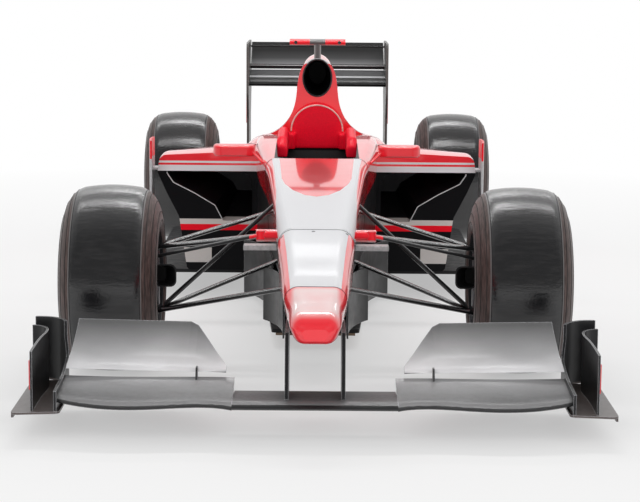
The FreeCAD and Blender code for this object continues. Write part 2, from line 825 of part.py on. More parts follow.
# Out from the wall and forward of its rear end, as shares of the curl's reach
wall_curl_shares = ((0.0, 2.9), (0.0, 1.9), (0.02, 1.35), (0.08, 0.80), (0.34, 0.24), (1.0, 0.0))
vane_curl_shares = ((0.02, 2.75), (0.0, 1.80), (-0.03, 1.20), (0.02, 0.80), (0.20, 0.48))
vane_end_share = 0.36
# Forward of the wall's rear end in shares of the reach, and up the wall's height
wall_step_shares = ((4.4, 0.29), (2.7, 0.34), (0.95, 0.48), (0.62, 0.72))
wall_step_round_shares = (0.5, 0.4, 0.3)


def curved_wall(path, thickness, low_z, high_z):
    """An upright curved sheet along a plan path of points, thickened to one side."""
    inner = []
    outer = []
    for i, point in enumerate(path):
        ahead = path[min(i + 1, len(path) - 1)] - path[max(i - 1, 0)]
        side = V(ahead.y, -ahead.x, 0)
        side.normalize()
        inner.append(V(point.x, point.y, low_z) - side * (thickness / 2))
        outer.append(V(point.x, point.y, low_z) + side * (thickness / 2))
    first = Part.BSplineCurve()
    first.interpolate(inner)
    second = Part.BSplineCurve()
    second.interpolate(list(reversed(outer)))
    wire = Part.Wire([
        first.toShape(),
        Part.LineSegment(inner[-1], outer[-1]).toShape(),
        second.toShape(),
        Part.LineSegment(outer[0], inner[0]).toShape(),
    ])
    return prism(wire, UP * (high_z - low_z))


def make_front_endplate():
    """The left endplate: footplate, main wall curling outward at its rear, and the outer curved vane."""
    foot_top = endplate_low_z + foot_thickness
    plan = [
        at(foot_inner_x, foot_front + foot_hook, endplate_low_z),
        at(wing_half_span, foot_front, endplate_low_z),
        at(wing_half_span, foot_rear, endplate_low_z),
        at(foot_inner_x, foot_rear, endplate_low_z),
    ]
    foot = prism(rounded_wire(plan, [foot_hook] * len(plan)), UP * foot_thickness)
    hook = box(at(wing_half_span - foot_thickness, foot_front + foot_hook, endplate_low_z - foot_edge),
               at(wing_half_span, foot_rear - foot_hook, endplate_low_z + foot_thickness))
    wall_x = endplate_x + endplate_thickness / 2
    reach = endplate_curl_reach
    wall_path = [at(wall_x, foot_front + foot_hook, 0)]
    wall_path += [at(wall_x + reach * out, endplate_rear - reach * ahead, 0) for out, ahead in wall_curl_shares]
    wall = curved_wall(wall_path, endplate_thickness, foot_top - foot_thickness / 2, endplate_top_z)
    height = endplate_top_z - foot_top
    cutter_points = [at(0, endplate_rear - reach * ahead, foot_top + height * up) for ahead, up in wall_step_shares]
    radii = [0] + [reach * share for share in wall_step_round_shares] + [0, 0]
    cutter_points.append(at(0, cutter_points[-1].y - front_axle_y, endplate_top_z + overrun))
    cutter_points.append(at(0, cutter_points[0].y - front_axle_y, endplate_top_z + overrun))
    cutter = prism(rounded_wire(cutter_points, radii), ACROSS * wing_half_span)
    wall = wall.cut(cutter)
    vane_path = [at(vane_x, foot_front + foot_hook, 0)]
    vane_path += [at(vane_x + reach * out, endplate_rear - reach * ahead, 0) for out, ahead in vane_curl_shares]
    vane_path.append(at(wing_half_span - vane_thickness, endplate_rear - reach * vane_end_share, 0))
    vane = curved_wall(vane_path, vane_thickness, foot_top - foot_thickness / 2, vane_height)
    return foot.fuse([hook, wall, vane]).removeSplitter()


pylon_x = 86.0
pylon_thickness = 12.0
pylon_top_front = -1010.0
pylon_chord = 215.0
pylon_low_front = -1065.0
pylon_low_chord = 170.0
pylon_top_z = 322.0


def make_nose_pylon():
    """The left of the two blades that hang the front wing from the nose."""
    top = pylon_top_z + nose_wall * 2
    inner = pylon_x - pylon_thickness / 2
    points = [
        at(inner, pylon_low_front, neutral_z),
        at(inner, pylon_low_front + pylon_low_chord, neutral_z),
        at(inner, pylon_top_front + pylon_chord, top),
        at(inner, pylon_top_front, top),
    ]
    return prism(rounded_wire(points, [pylon_thickness, pylon_thickness, 0, 0]), ACROSS * pylon_thickness)


# Vanes beside the tub, the bargeboards and the vanes on the sidepods' shoulders
turning_vane_thickness = 6.0
turning_vane_x = 112.0
turning_vane_front = -150.0
turning_vane_low_z = 143.0
turning_vane_top_z = 339.0
# Out from the vane's front edge, and back along it
turning_vane_bends = ((0, 0), (6, 150), (34, 270), (78, 360))
bargeboard_front = 560.0
bargeboard_rear = 1180.0
bargeboard_height = 300.0
bargeboard_thickness = 7.0
# Out from the centre plane over the tray's half width, and back along the board
bargeboard_shares = ((1.02, 0.0), (1.10, 0.4), (1.36, 0.75), (1.80, 1.0))
blade_behind = 800.0
blade_half_span = 287.0
blade_chord = 150.0
blade_thickness = 30.0
blade_z = 330.0
blade_root_x = 157.0
blade_sweep = 45.0
blade_drop = 9.0
pod_vane_x = 702.0
pod_vane_front = 1365.0
pod_vane_chord = 190.0
pod_vane_top_z = 690.0
pod_vane_thickness = 9.0
pod_vane_tie_z = 556.0
pod_vane_tie_reach = 70.0
pod_vane_foot = 62.0
pod_vane_slant = 25.0


def make_turning_vane():
    """The left under nose vane, a curved sheet hung from the edge of the raised chassis."""
    path = [at(turning_vane_x + out, turning_vane_front + along, 0) for out, along in turning_vane_bends]
    return curved_wall(path, turning_vane_thickness, turning_vane_low_z, turning_vane_top_z)


def make_bargeboard():
    """The left bargeboard: an outward curving wall on the tray, tied to the tub by a flat blade."""
    tray_top = reference_plane_z + tray_thickness
    length = bargeboard_rear - bargeboard_front
    path = [at(tray_half_width * out, bargeboard_front + length * along, 0) for out, along in bargeboard_shares]
    wall = curved_wall(path, bargeboard_thickness, tray_top + seat_gap, bargeboard_height)
    blade = blade_bar(at(blade_root_x, blade_behind, blade_z),
                      at(blade_half_span, blade_behind + blade_sweep, blade_z - blade_drop),
                      blade_chord, blade_thickness)
    return wall.fuse(blade)


def make_pod_vane():
    """The upright vane beside the sidepod's outer shoulder, from the floor up, tied to the pod's flank."""
    path = [
        at(pod_vane_x, pod_vane_front, 0),
        at(pod_vane_x + pod_vane_thickness, pod_vane_front + pod_vane_chord / 2, 0),
        at(pod_vane_x + pod_vane_thickness / 2, pod_vane_front + pod_vane_chord, 0),
    ]
    wall = curved_wall(path, pod_vane_thickness, floor_top_z + seat_gap, pod_vane_top_z)
    slant_points = [
        at(0, pod_vane_front - overrun, floor_top_z),
        at(0, pod_vane_front + pod_vane_chord - pod_vane_foot, floor_top_z),
        at(0, pod_vane_front + pod_vane_slant, pod_vane_tie_z - pod_vane_tie_reach),
        at(0, pod_vane_front - overrun, pod_vane_tie_z),
    ]
    wall = wall.cut(prism(rounded_wire(slant_points, [0, pod_vane_slant, pod_vane_slant, 0]),
                          ACROSS * (pod_vane_x + overrun * 2)))
    tie = box(at(pod_vane_x - pod_vane_tie_reach, pod_vane_front + pod_vane_chord / 2, pod_vane_tie_z),
              at(pod_vane_x + pod_vane_thickness - seat_gap, pod_vane_front + pod_vane_chord - pod_vane_thickness,
                 pod_vane_tie_z + pod_vane_thickness))
    return wall.fuse(tie)


# Wheels and tyres
tyre_radius = 330.0
front_tyre_width = 345.0
rear_tyre_width = 375.0
bead_radius = 168.0
tyre_crown = 8.0
tyre_bulge = 10.0
tread_share = 0.56
# Out over the tyre's half width, and up its wall, from the shoulder down
tyre_wall_shares = ((0.72, 0.865), (0.875, 0.670), (0.965, 0.400), (0.985, 0.200))
rim_flange_radius = 180.0
rim_flange_thickness = 7.0
rim_barrel_thickness = 5.0
spoke_count = 10
spoke_foot_width = 34.0
spoke_tip_width = 21.0
spoke_thickness = 18.0
spoke_set_in = 62.0
hub_radius = 58.0
hub_bore_radius = 30.0
wheel_nut_radius = 36.0
wheel_nut_length = 42.0


rim_face_x = tyre_outer_half_width - tyre_bulge - spoke_set_in


def make_tyre(width, outer_x):
    """A slick tyre turned about the axle: a crowned tread, round shoulders and bulged walls."""
    middle = outer_x - width / 2
    bead = bead_radius + rim_barrel_thickness
    half = width / 2
    deep = tyre_radius - bead
    foot = half - tyre_bulge - rim_flange_thickness - seat_gap
    tread_half = half * tread_share
    tread_radius = tyre_radius - tyre_crown
    wall = [(half * out, bead + deep * up) for out, up in tyre_wall_shares]
    outer_wall = Part.BSplineCurve()
    outer_wall.interpolate([V(middle + x, 0, z) for x, z in [(tread_half, tread_radius)] + wall + [(foot, bead)]])
    inner_wall = Part.BSplineCurve()
    inner_wall.interpolate([V(middle - x, 0, z) for x, z in [(foot, bead)] + wall[::-1] + [(tread_half, tread_radius)]])
    tread = Part.Arc(V(middle - tread_half, 0, tread_radius), V(middle, 0, tyre_radius),
                     V(middle + tread_half, 0, tread_radius))
    closing = Part.LineSegment(V(middle + foot, 0, bead), V(middle - foot, 0, bead))
    wire = Part.Wire([inner_wall.toShape(), tread.toShape(), outer_wall.toShape(), closing.toShape()])
    return Part.Face(wire).revolve(V(0, 0, 0), ACROSS, 360)


def make_rim(width, outer_x):
    """A forged rim: barrel with two flanges, a disc of spokes near its outer face, hub and wheel nut."""
    outer = outer_x - tyre_bulge
    inner = outer_x - width + tyre_bulge
    bead = bead_radius + rim_barrel_thickness - seat_gap
    low = bead - rim_barrel_thickness
    flange = rim_flange_thickness
    barrel_points = [
        V(inner, 0, low),
        V(outer, 0, low),
        V(outer, 0, rim_flange_radius),
        V(outer - flange, 0, rim_flange_radius),
        V(outer - flange, 0, bead),
        V(inner + flange, 0, bead),
        V(inner + flange, 0, rim_flange_radius),
        V(inner, 0, rim_flange_radius),
    ]
    soft = flange / 2 - seat_gap
    barrel = spin_ring(barrel_points, [0, 0, soft, soft, 0, 0, soft, soft])
    face_x = rim_face_x
    spoke_wires = []
    ends = ((hub_radius - rim_barrel_thickness, spoke_foot_width, face_x),
            (low + rim_barrel_thickness / 2, spoke_tip_width, face_x + spoke_thickness))
    for reach, wide, x in ends:
        half = wide / 2
        points = [
            V(x, -half, reach),
            V(x, half, reach),
            V(x + spoke_thickness, half, reach),
            V(x + spoke_thickness, -half, reach),
        ]
        spoke_wires.append(rounded_wire(points, [rim_barrel_thickness / 2] * len(points)))
    spoke = loft(spoke_wires, True)
    spokes = []
    for step in range(spoke_count):
        one = spoke.copy()
        one.rotate(V(0, 0, 0), ACROSS, 360 * step / spoke_count)
        spokes.append(one)
    hub_back = face_x - spoke_thickness
    hub = cylinder(V(hub_back, 0, 0), V(face_x + spoke_thickness, 0, 0), hub_radius)
    nut = cylinder(V(face_x + spoke_thickness, 0, 0), V(face_x + spoke_thickness + wheel_nut_length, 0, 0),
                   wheel_nut_radius)
    bore = cylinder(V(hub_back - overrun, 0, 0), V(face_x, 0, 0), hub_bore_radius + running_gap)
    rim = barrel.fuse(spokes + [hub, nut]).cut(bore)
    return rim.removeSplitter()


def placed(shape, behind):
    """A wheel part moved from the origin to an axle."""
    moved = shape.copy()
    moved.translate(at(0, behind, tyre_radius))
    return moved


# Front suspension and steering
kingpin_x = 578.0
kingpin_radius = 8.0
ball_joint_radius = 19.0
ball_joint_height = 26.0
upper_ball_z = 440.0
lower_ball_z = 212.0
wishbone_chord = 58.0
wishbone_thickness = 17.0
upright_width = 44.0
upright_depth = 62.0
upright_corner_radius = 13.0
upright_lift = 10.0
collar_radius = 13.0
steering_arm_length = 88.0
rod_eye_z = 418.0
rod_eye_gap = 4.0
steering_arm_thickness = 14.0
steering_arm_width = 26.0
steering_arm_root_z = 362.0
rod_eye_radius = 15.0
rod_eye_height = 14.0
rod_chord = 26.0
rod_thickness = 13.0
rack_behind = -262.0
rack_half_length = 188.0
rack_z = 524.0
rack_radius = 12.0
rack_joint_radius = 15.0
duct_radius = 143.0
duct_wall = 4.0
duct_inner_x = 608.0
duct_outer_x = 735.0
scoop_width = 74.0
scoop_height = 80.0
scoop_low_z = 323.0
scoop_front = -150.0
scoop_rear = -48.0
scoop_inner_x = 484.0
scoop_rear_share = 0.8
scoop_corner_share = 0.3
scoop_sweep = 38.0
neck_reach = 60.0
pushrod_thickness = 22.0
pushrod_chord = 30.0

# Inner ends of the front legs: X, distance behind the axle, height
upper_front_leg = (178.0, -190.0, 512.0)
upper_rear_leg = (152.0, 300.0, 535.0)
lower_front_leg = (108.0, -330.0, 352.0)
lower_rear_leg = (128.0, 215.0, 366.0)
pushrod_top = (138.0, 105.0, 592.0)
pushrod_foot_x = 540.0


def wishbone(inner_front, inner_rear, outer, pin_radius):
    """Two streamlined legs that meet in an eye round an upright's pin."""
    tip = V(outer.x - ball_joint_radius * 0.6, outer.y, outer.z)
    legs = [blade_bar(inner_front, tip, wishbone_chord, wishbone_thickness),
            blade_bar(inner_rear, tip, wishbone_chord, wishbone_thickness)]
    half = ball_joint_height / 2
    eye = cylinder(outer - UP * half, outer + UP * half, ball_joint_radius)
    bore = cylinder(outer - UP * (half + overrun), outer + UP * (half + overrun), pin_radius + running_gap)
    return eye.fuse(legs).cut(bore).removeSplitter()


def make_front_wishbones():
    """The left upper and lower wishbones."""
    upper = wishbone(at(*upper_front_leg), at(*upper_rear_leg), at(kingpin_x, 0, upper_ball_z), kingpin_radius)
    lower = wishbone(at(*lower_front_leg), at(*lower_rear_leg), at(kingpin_x, 0, lower_ball_z), kingpin_radius)
    return upper, lower


def make_front_pushrod():
    """The left pushrod, from a foot on the lower wishbone up to the tub's shoulder."""
    foot = at(pushrod_foot_x, 0, lower_ball_z + wishbone_thickness / 2 + pushrod_thickness / 2 + seat_gap)
    return blade_bar(foot, at(*pushrod_top), pushrod_chord, pushrod_thickness)


def soft_post(post):
    """An upright's block with its four standing edges rounded."""
    standing = [edge for edge in post.Edges if edge.BoundBox.XLength + edge.BoundBox.YLength < seat_gap]
    return post.makeFillet(upright_corner_radius, standing)


def make_front_upright():
    """The left upright: kingpins, post, spindle and the steering arm that points forward."""
    collar_low = lower_ball_z + ball_joint_height / 2 + seat_gap
    low = collar_low + upright_lift
    high = upper_ball_z - ball_joint_height / 2 - seat_gap
    collar = cylinder(at(kingpin_x, 0, collar_low), at(kingpin_x, 0, low + upright_lift), collar_radius)
    post = box(at(kingpin_x - upright_width / 2, -upright_depth / 2, low),
               at(kingpin_x + upright_width / 2, upright_depth / 2, high))
    post = soft_post(post)
    pin = cylinder(at(kingpin_x, 0, lower_ball_z - ball_joint_height / 2),
                   at(kingpin_x, 0, upper_ball_z + ball_joint_height / 2), kingpin_radius)
    spindle = cylinder(at(kingpin_x, 0, tyre_radius), at(rim_face_x - seat_gap, 0, tyre_radius), hub_bore_radius)
    flange = cylinder(at(kingpin_x, 0, tyre_radius), at(duct_outer_x - overrun, 0, tyre_radius), hub_radius)
    arm_top = rod_eye_z - rod_eye_height / 2 - rod_eye_gap
    arm_low = arm_top - steering_arm_thickness
    front_end = -steering_arm_length - rod_eye_radius
    side = kingpin_x - steering_arm_width / 2
    arm_points = [
        at(side, -upright_depth / 4, steering_arm_root_z),
        at(side, -upright_depth / 4, arm_low),
        at(side, -upright_depth, arm_top),
        at(side, front_end, arm_top),
        at(side, front_end, arm_low),
        at(side, -upright_depth, arm_low),
    ]
    bend = steering_arm_thickness / 4
    arm = prism(rounded_wire(arm_points, [0, 0, bend, bend, bend, bend]), ACROSS * steering_arm_width)
    return post.fuse([pin, collar, spindle, flange, arm]).removeSplitter()


def make_drum(inner_x, behind, hole_radius):
    """A brake cooling drum, open towards the wheel, with a round hole in its backplate."""
    drum = cylinder(at(inner_x, behind, tyre_radius), at(duct_outer_x, behind, tyre_radius), duct_radius)
    hollow = cylinder(at(inner_x + duct_wall, behind, tyre_radius), at(duct_outer_x + overrun, behind, tyre_radius),
                      duct_radius - duct_wall)
    hole = cylinder(at(inner_x - overrun, behind, tyre_radius), at(duct_outer_x, behind, tyre_radius), hole_radius)
    return drum.cut([hollow, hole])


def scoop_wire(place, x, wide, high, low_z):
    """One section of the brake scoop, from its inner lower corner."""
    points = [at(x, place, low_z), at(x + wide, place, low_z), at(x + wide, place, low_z + high),
              at(x, place, low_z + high)]
    return rounded_wire(points, [wide * scoop_corner_share] * len(points))


def make_front_duct():
    """The left front brake duct: the drum and the open scoop that feeds it from in front."""
    wall = duct_wall
    low = scoop_low_z
    rows = (
        (scoop_front, scoop_width, scoop_height, scoop_inner_x, -wall / 2),
        (scoop_rear, scoop_width * scoop_rear_share, scoop_height * scoop_rear_share,
         scoop_inner_x + scoop_sweep, -wall * 3),
    )
    outside = []
    inside = []
    for place, wide, high, x, shift in rows:
        outside.append(scoop_wire(place, x, wide, high, low))
        inside.append(scoop_wire(place + shift, x + wall, wide - wall * 2, high - wall * 2, low + wall))
    neck = box(at(duct_inner_x - neck_reach, scoop_rear - neck_reach / 2, low + wall),
               at(duct_inner_x + wall, scoop_rear - wall, low + neck_reach))
    scoop = loft(outside, True).fuse(neck).cut(loft(inside, True))
    return make_drum(duct_inner_x, 0, hub_radius + seat_gap).fuse(scoop).removeSplitter()


def make_steering_rack():
    """The rack bar across the tub and its two track rods, which slide as one piece."""
    rack = cylinder(at(-rack_half_length, rack_behind, rack_z), at(rack_half_length, rack_behind, rack_z), rack_radius)
    eye_centre = at(kingpin_x, -steering_arm_length, rod_eye_z)
    half = rod_eye_height / 2
    eye = cylinder(eye_centre - UP * half, eye_centre + UP * half, rod_eye_radius)
    start = at(rack_half_length, rack_behind, rack_z)
    tip = V(eye_centre.x - rod_eye_radius / 2, eye_centre.y, eye_centre.z)
    joint = cylinder(start - UP * rack_joint_radius, start + UP * rack_joint_radius, rack_joint_radius)
    rod = blade_bar(start, tip, rod_chord, rod_thickness).fuse([eye, joint])
    return rack.fuse([rod, mirrored(rod)])


# Rear suspension, drive and power unit
rear_upright_x = 590.0
rear_upper_ball_z = 452.0
rear_lower_ball_z = 200.0
rear_upper_front_leg = (112.0, -300.0, 405.0)
rear_upper_rear_leg = (80.0, 120.0, 405.0)
rear_lower_front_leg = (112.0, -235.0, 236.0)
rear_lower_rear_leg = (80.0, 110.0, 262.0)
pullrod_foot = (100.0, -130.0, 250.0)
drive_shaft_radius = 22.0
drive_joint_radius = 46.0
drive_joint_x = 100.0
engine_front = 2053.0
engine_length = 520.0
engine_half_width = 235.0
engine_height = 470.0
gearbox_half_width = 118.0
gearbox_low_z = 190.0
gearbox_high_z = 430.0
crash_rear = 3880.0
crash_half_width = 52.0
crash_low_z = 290.0
crash_high_z = 372.0
socket_radius = 14.0
socket_depth = 60.0
lamp_width = 60.0
lamp_height = 92.0
lamp_thickness = 20.0
exhaust_radius = 38.0
exhaust_wall = 2.5
exhaust_length = 260.0


def make_rear_wishbones():
    """The left rear upper and lower wishbones and the pullrod between them."""
    shift = wheelbase

    def behind(place):
        return at(place[0], shift + place[1], place[2])

    upper = wishbone(behind(rear_upper_front_leg), behind(rear_upper_rear_leg),
                     at(rear_upright_x, shift, rear_upper_ball_z), kingpin_radius)
    lower = wishbone(behind(rear_lower_front_leg), behind(rear_lower_rear_leg),
                     at(rear_upright_x, shift, rear_lower_ball_z), kingpin_radius)
    return upper, lower


def make_pullrod():
    """The left rear pullrod, from under the upper wishbone's tip down to the gearbox's foot."""
    top_x = rear_upright_x - ball_joint_radius * 3
    top = at(top_x, wheelbase, rear_upper_ball_z - wishbone_thickness / 2 - pushrod_thickness / 2 - seat_gap
             - ball_joint_radius * 0.6)
    foot = at(pullrod_foot[0], wheelbase + pullrod_foot[1], pullrod_foot[2])
    return blade_bar(foot, top, pushrod_chord, pushrod_thickness)


def make_rear_upright():
    """The left rear upright with its pins, hub carrier and brake drum."""
    low = rear_lower_ball_z + ball_joint_height / 2 + seat_gap
    high = rear_upper_ball_z - ball_joint_height / 2 - seat_gap
    x = rear_upright_x
    post = box(at(x - upright_width / 2, wheelbase - upright_depth / 2, low),
               at(x + upright_width / 2, wheelbase + upright_depth / 2, high))
    post = soft_post(post)
    pin = cylinder(at(x, wheelbase, rear_lower_ball_z - ball_joint_height / 2),
                   at(x, wheelbase, rear_upper_ball_z + ball_joint_height / 2), kingpin_radius)
    spindle = cylinder(at(x, wheelbase, tyre_radius), at(rim_face_x - seat_gap, wheelbase, tyre_radius),
                       hub_bore_radius)
    drum = make_drum(x + upright_width / 2, wheelbase, hub_bore_radius)
    return post.fuse([pin, spindle, drum]).removeSplitter()


def make_drive_shaft():
    """The left drive shaft with its two joint housings."""
    inner = at(drive_joint_x, wheelbase, tyre_radius)
    outer = at(rear_upright_x - upright_width / 2 - seat_gap, wheelbase, tyre_radius)
    bar = cylinder(inner, outer, drive_shaft_radius)
    inner_joint = cylinder(inner, inner + ACROSS * drive_joint_radius, drive_joint_radius)
    outer_joint = cylinder(outer - ACROSS * drive_joint_radius * 0.8, outer, drive_joint_radius * 0.7)
    return bar.fuse([inner_joint, outer_joint]).removeSplitter()


def make_engine_block():
    """The engine as one plain block between the tank bay and the gearbox."""
    low = at(-engine_half_width, engine_front, floor_top_z + seat_gap)
    high = at(engine_half_width, engine_front + engine_length, engine_height)
    return box(low, high)


def make_gearbox():
    """The gearbox case and the tapering crash structure behind it, with the starter's socket."""
    start = engine_front + engine_length + seat_gap
    wires = [
        trapezium_wire(start, engine_half_width * 0.8, engine_half_width * 0.8, gearbox_high_z, floor_top_z + seat_gap,
                       tub_bottom_radius, tub_bottom_radius),
        trapezium_wire(wheelbase - rack_half_length, gearbox_half_width, gearbox_half_width, gearbox_high_z,
                       gearbox_low_z, tub_bottom_radius, tub_bottom_radius),
        trapezium_wire(wheelbase + rack_half_length, gearbox_half_width * 0.8, gearbox_half_width * 0.8,
                       gearbox_high_z * 0.97, gearbox_low_z * 1.2, tub_bottom_radius, tub_bottom_radius),
        trapezium_wire(crash_rear, crash_half_width, crash_half_width, crash_high_z, crash_low_z,
                       tub_bottom_radius, tub_bottom_radius),
    ]
    body = loft(wires, True)
    low_z = crash_low_z + socket_radius * 1.5
    socket = cylinder(at(0, crash_rear - socket_depth, low_z), at(0, crash_rear + overrun, low_z), socket_radius)
    return body.cut(socket)


def make_rain_light():
    """The rear lamp on the end of the crash structure."""
    low_z = crash_low_z + socket_radius * 3
    points = [
        at(-lamp_width / 2, crash_rear + seat_gap, low_z),
        at(lamp_width / 2, crash_rear + seat_gap, low_z),
        at(lamp_width / 2, crash_rear + seat_gap, low_z + lamp_height),
        at(-lamp_width / 2, crash_rear + seat_gap, low_z + lamp_height),
    ]
    return prism(rounded_wire(points, [lamp_thickness / 3] * 4), ALONG * (lamp_thickness - seat_gap))


exhaust_x = 205.0
exhaust_behind = 2700.0
exhaust_z = 462.0


def exhaust_line():
    """The start of the left tailpipe and the way it runs."""
    return at(exhaust_x, exhaust_behind, exhaust_z), V(0, exhaust_length, exhaust_radius / 2)


def make_exhaust():
    """The left tailpipe, a short open tube over the rear bodywork."""
    start, way = exhaust_line()
    end = start + way
    tube = cylinder(start, end, exhaust_radius)
    inner_start = start + way * 0.15
    return tube.cut(cylinder(inner_start, end + way * 0.1, exhaust_radius - exhaust_wall))


# Rear wing
rear_wing_half_width = 375.0
rear_plate_thickness = 12.0
rear_plate_front = 3420.0
rear_plate_rear = 3860.0
rear_plate_top_z = 1018.0
rear_plate_waist_z = 620.0
rear_plate_low_z = 150.0
rear_plane_front = 3455.0
rear_plane_z = 800.0
rear_plane_chord = 235.0
rear_plane_thickness = 30.0
rear_plane_rise = 62.0
rear_flap_front = 3690.0
rear_flap_z = 886.0
rear_flap_chord = 98.0
rear_flap_rise = 122.0
rear_flap_thickness = 9.0
flap_pivot_radius = 5.0
beam_front = 3560.0
beam_z = 392.0
beam_chord = 190.0
beam_rise = 40.0
beam_thickness = 16.0


def rear_pivot():
    """The open end of the flap's hinge line, near its rear top edge."""
    return at(0, rear_flap_front + rear_flap_chord * 0.86, rear_flap_z + rear_flap_rise * 0.82)


def make_rear_wing_main():
    """The rear wing's main plane, between the endplates."""
    reach = rear_wing_half_width - rear_plate_thickness - seat_gap
    return loft([
        section_wire(x, rear_plane_front, rear_plane_z, rear_plane_chord, rear_plane_thickness, rear_plane_rise,
                     rear_plane_rise * 0.22) for x in (-reach, reach)
    ], True)


def make_rear_flap():
    """The drag reducing flap with a pivot pin at each end."""
    reach = rear_wing_half_width - rear_plate_thickness - swing_gap
    flap = loft([
        section_wire(x, rear_flap_front, rear_flap_z, rear_flap_chord, rear_flap_thickness, rear_flap_rise,
                     rear_flap_rise * 0.05) for x in (-reach, reach)
    ], True)
    pivot = rear_pivot()
    half = rear_wing_half_width - rear_plate_thickness / 4
    pin = cylinder(V(-half, pivot.y, pivot.z), V(half, pivot.y, pivot.z), flap_pivot_radius)
    return flap.fuse(pin).removeSplitter()


def make_rear_endplate():
    """The left rear endplate, broad at the wing, narrow at its waist, with the flap's pivot hole."""
    x = rear_wing_half_width - rear_plate_thickness
    span = rear_plate_rear - rear_plate_front
    points = [
        at(x, rear_plate_front + span * 0.20, rear_plate_low_z),
        at(x, rear_plate_front + span * 0.78, rear_plate_low_z),
        at(x, rear_plate_front + span * 0.84, rear_plate_waist_z),
        at(x, rear_plate_rear, rear_plate_waist_z + span * 0.28),
        at(x, rear_plate_rear, rear_plate_top_z),
        at(x, rear_plate_front, rear_plate_top_z),
        at(x, rear_plate_front, rear_plate_waist_z + span * 0.28),
        at(x, rear_plate_front + span * 0.16, rear_plate_waist_z),
    ]
    bend = span * 0.08
    plate = prism(rounded_wire(points, [bend] * 8), ACROSS * rear_plate_thickness)
    pivot = rear_pivot()
    hole = cylinder(V(x - overrun, pivot.y, pivot.z), V(rear_wing_half_width - rear_plate_thickness / 4 + running_gap,
                                                        pivot.y, pivot.z), flap_pivot_radius + running_gap)
    return plate.cut(hole)


def make_beam_wing():
    """The lower rear wing, over the crash structure."""
    reach = rear_wing_half_width - rear_plate_thickness - seat_gap
    return loft([
        section_wire(x, beam_front, beam_z, beam_chord, beam_thickness, beam_rise, beam_rise * 0.2)
        for x in (-reach, reach)
    ], True)


# Build every piece, then trim each one where it meets what carries it
floor = make_floor()
diffuser = make_diffuser()
monocoque = seated(make_monocoque(), [floor])
nose = make_nose()
gearbox = make_gearbox()
engine = make_engine_block()
exhaust = make_exhaust()
exhaust_start, exhaust_way = exhaust_line()
exhaust_room = cylinder(exhaust_start, exhaust_start + exhaust_way * 2, exhaust_radius + seat_gap)
engine_cover = seated(make_engine_cover(), [monocoque, gearbox, engine, exhaust_room, mirrored(exhaust_room)])
sidepod = seated(make_sidepod(), [monocoque, engine_cover, gearbox, engine, exhaust_room])
headrest = seated(make_headrest(), [monocoque, engine_cover])
camera_pod = seated(make_camera_pod(), [engine_cover])
mirror = seated(make_mirrors(), [monocoque])
front_wing_main = make_front_wing_main()
flap_bracket = seated(make_flap_bracket(), [front_wing_main])
front_flap = seated(make_front_flap(), [flap_bracket])
nose_pylon = seated(make_nose_pylon(), [nose, front_wing_main])
front_endplate = seated(make_front_endplate(), [front_wing_main])
front_upper, front_lower = [seated(piece, [monocoque]) for piece in make_front_wishbones()]
turning_vane = seated(make_turning_vane(), [monocoque, front_lower])
bargeboard = seated(make_bargeboard(), [monocoque, floor])
pod_vane = seated(make_pod_vane(), [sidepod])
front_upright = make_front_upright()
front_rim = make_rim(front_tyre_width, tyre_outer_half_width)
rear_rim = make_rim(rear_tyre_width, tyre_outer_half_width)
front_pushrod = seated(make_front_pushrod(), [monocoque, front_lower])
rear_upper, rear_lower = [seated(piece, [gearbox, sidepod, engine_cover]) for piece in make_rear_wishbones()]
pullrod = seated(make_pullrod(), [gearbox, rear_upper])
drive_shaft = seated(make_drive_shaft(), [gearbox])
beam_wing = seated(make_beam_wing(), [gearbox])
rear_endplate = seated(make_rear_endplate(), [diffuser])

os.makedirs("parts", exist_ok=True)
export("floor", floor)
export("plank", make_plank())
export("diffuser", diffuser)
export("monocoque", monocoque)
export("nose_cone", nose)
export("engine_cover", engine_cover)
export("sidepod_left", sidepod)
export("sidepod_right", mirrored(sidepod))
export("headrest", headrest)
export("seat", seated(make_seat(), [monocoque]))
export("steering_wheel", make_steering_wheel())
export("mirrors", both_sides(mirror))
export("camera_pod", camera_pod)
export("front_wing_main", front_wing_main)
export("front_flaps", both_sides(front_flap))
export("flap_brackets", both_sides(flap_bracket))
export("front_endplates", both_sides(front_endplate))
export("nose_pylons", both_sides(nose_pylon))
export("turning_vanes", both_sides(turning_vane))
export("bargeboards", both_sides(bargeboard))
export("pod_vanes", both_sides(pod_vane))
export("front_wishbones", Part.makeCompound([front_upper, mirrored(front_upper), front_lower, mirrored(front_lower)]))
export("front_pushrods", both_sides(front_pushrod))
export("steering_rack", make_steering_rack())
wheel_side_parts = (
    ("front_upright", front_upright),
    ("front_duct", seated(make_front_duct(), [front_upright])),
    ("front_tyre", placed(seated(make_tyre(front_tyre_width, tyre_outer_half_width), [front_rim]), 0)),
    ("front_rim", placed(front_rim, 0)),
    ("rear_tyre", placed(seated(make_tyre(rear_tyre_width, tyre_outer_half_width), [rear_rim]), wheelbase)),
    ("rear_rim", placed(rear_rim, wheelbase)),
)
for name, shape in wheel_side_parts:
    export(name + "_left", shape)
    export(name + "_right", mirrored(shape))
export("rear_wishbones", Part.makeCompound([rear_upper, mirrored(rear_upper), rear_lower, mirrored(rear_lower)]))
export("rear_pullrods", both_sides(pullrod))
export("rear_uprights", both_sides(make_rear_upright()))
export("drive_shafts", both_sides(drive_shaft))
export("engine_block", engine)
export("gearbox", gearbox)
export("rain_light", make_rain_light())
export("exhausts", both_sides(exhaust))
export("rear_wing_main", make_rear_wing_main())
export("rear_wing_flap", make_rear_flap())
export("rear_endplates", both_sides(rear_endplate))
export("beam_wing", beam_wing)
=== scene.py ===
"""Looks of the open wheel racing car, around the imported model. Metres; the nose points along -Y."""
import bmesh
import bpy
import json
import math
from mathutils import Matrix, Vector
from mathutils.bvhtree import BVHTree


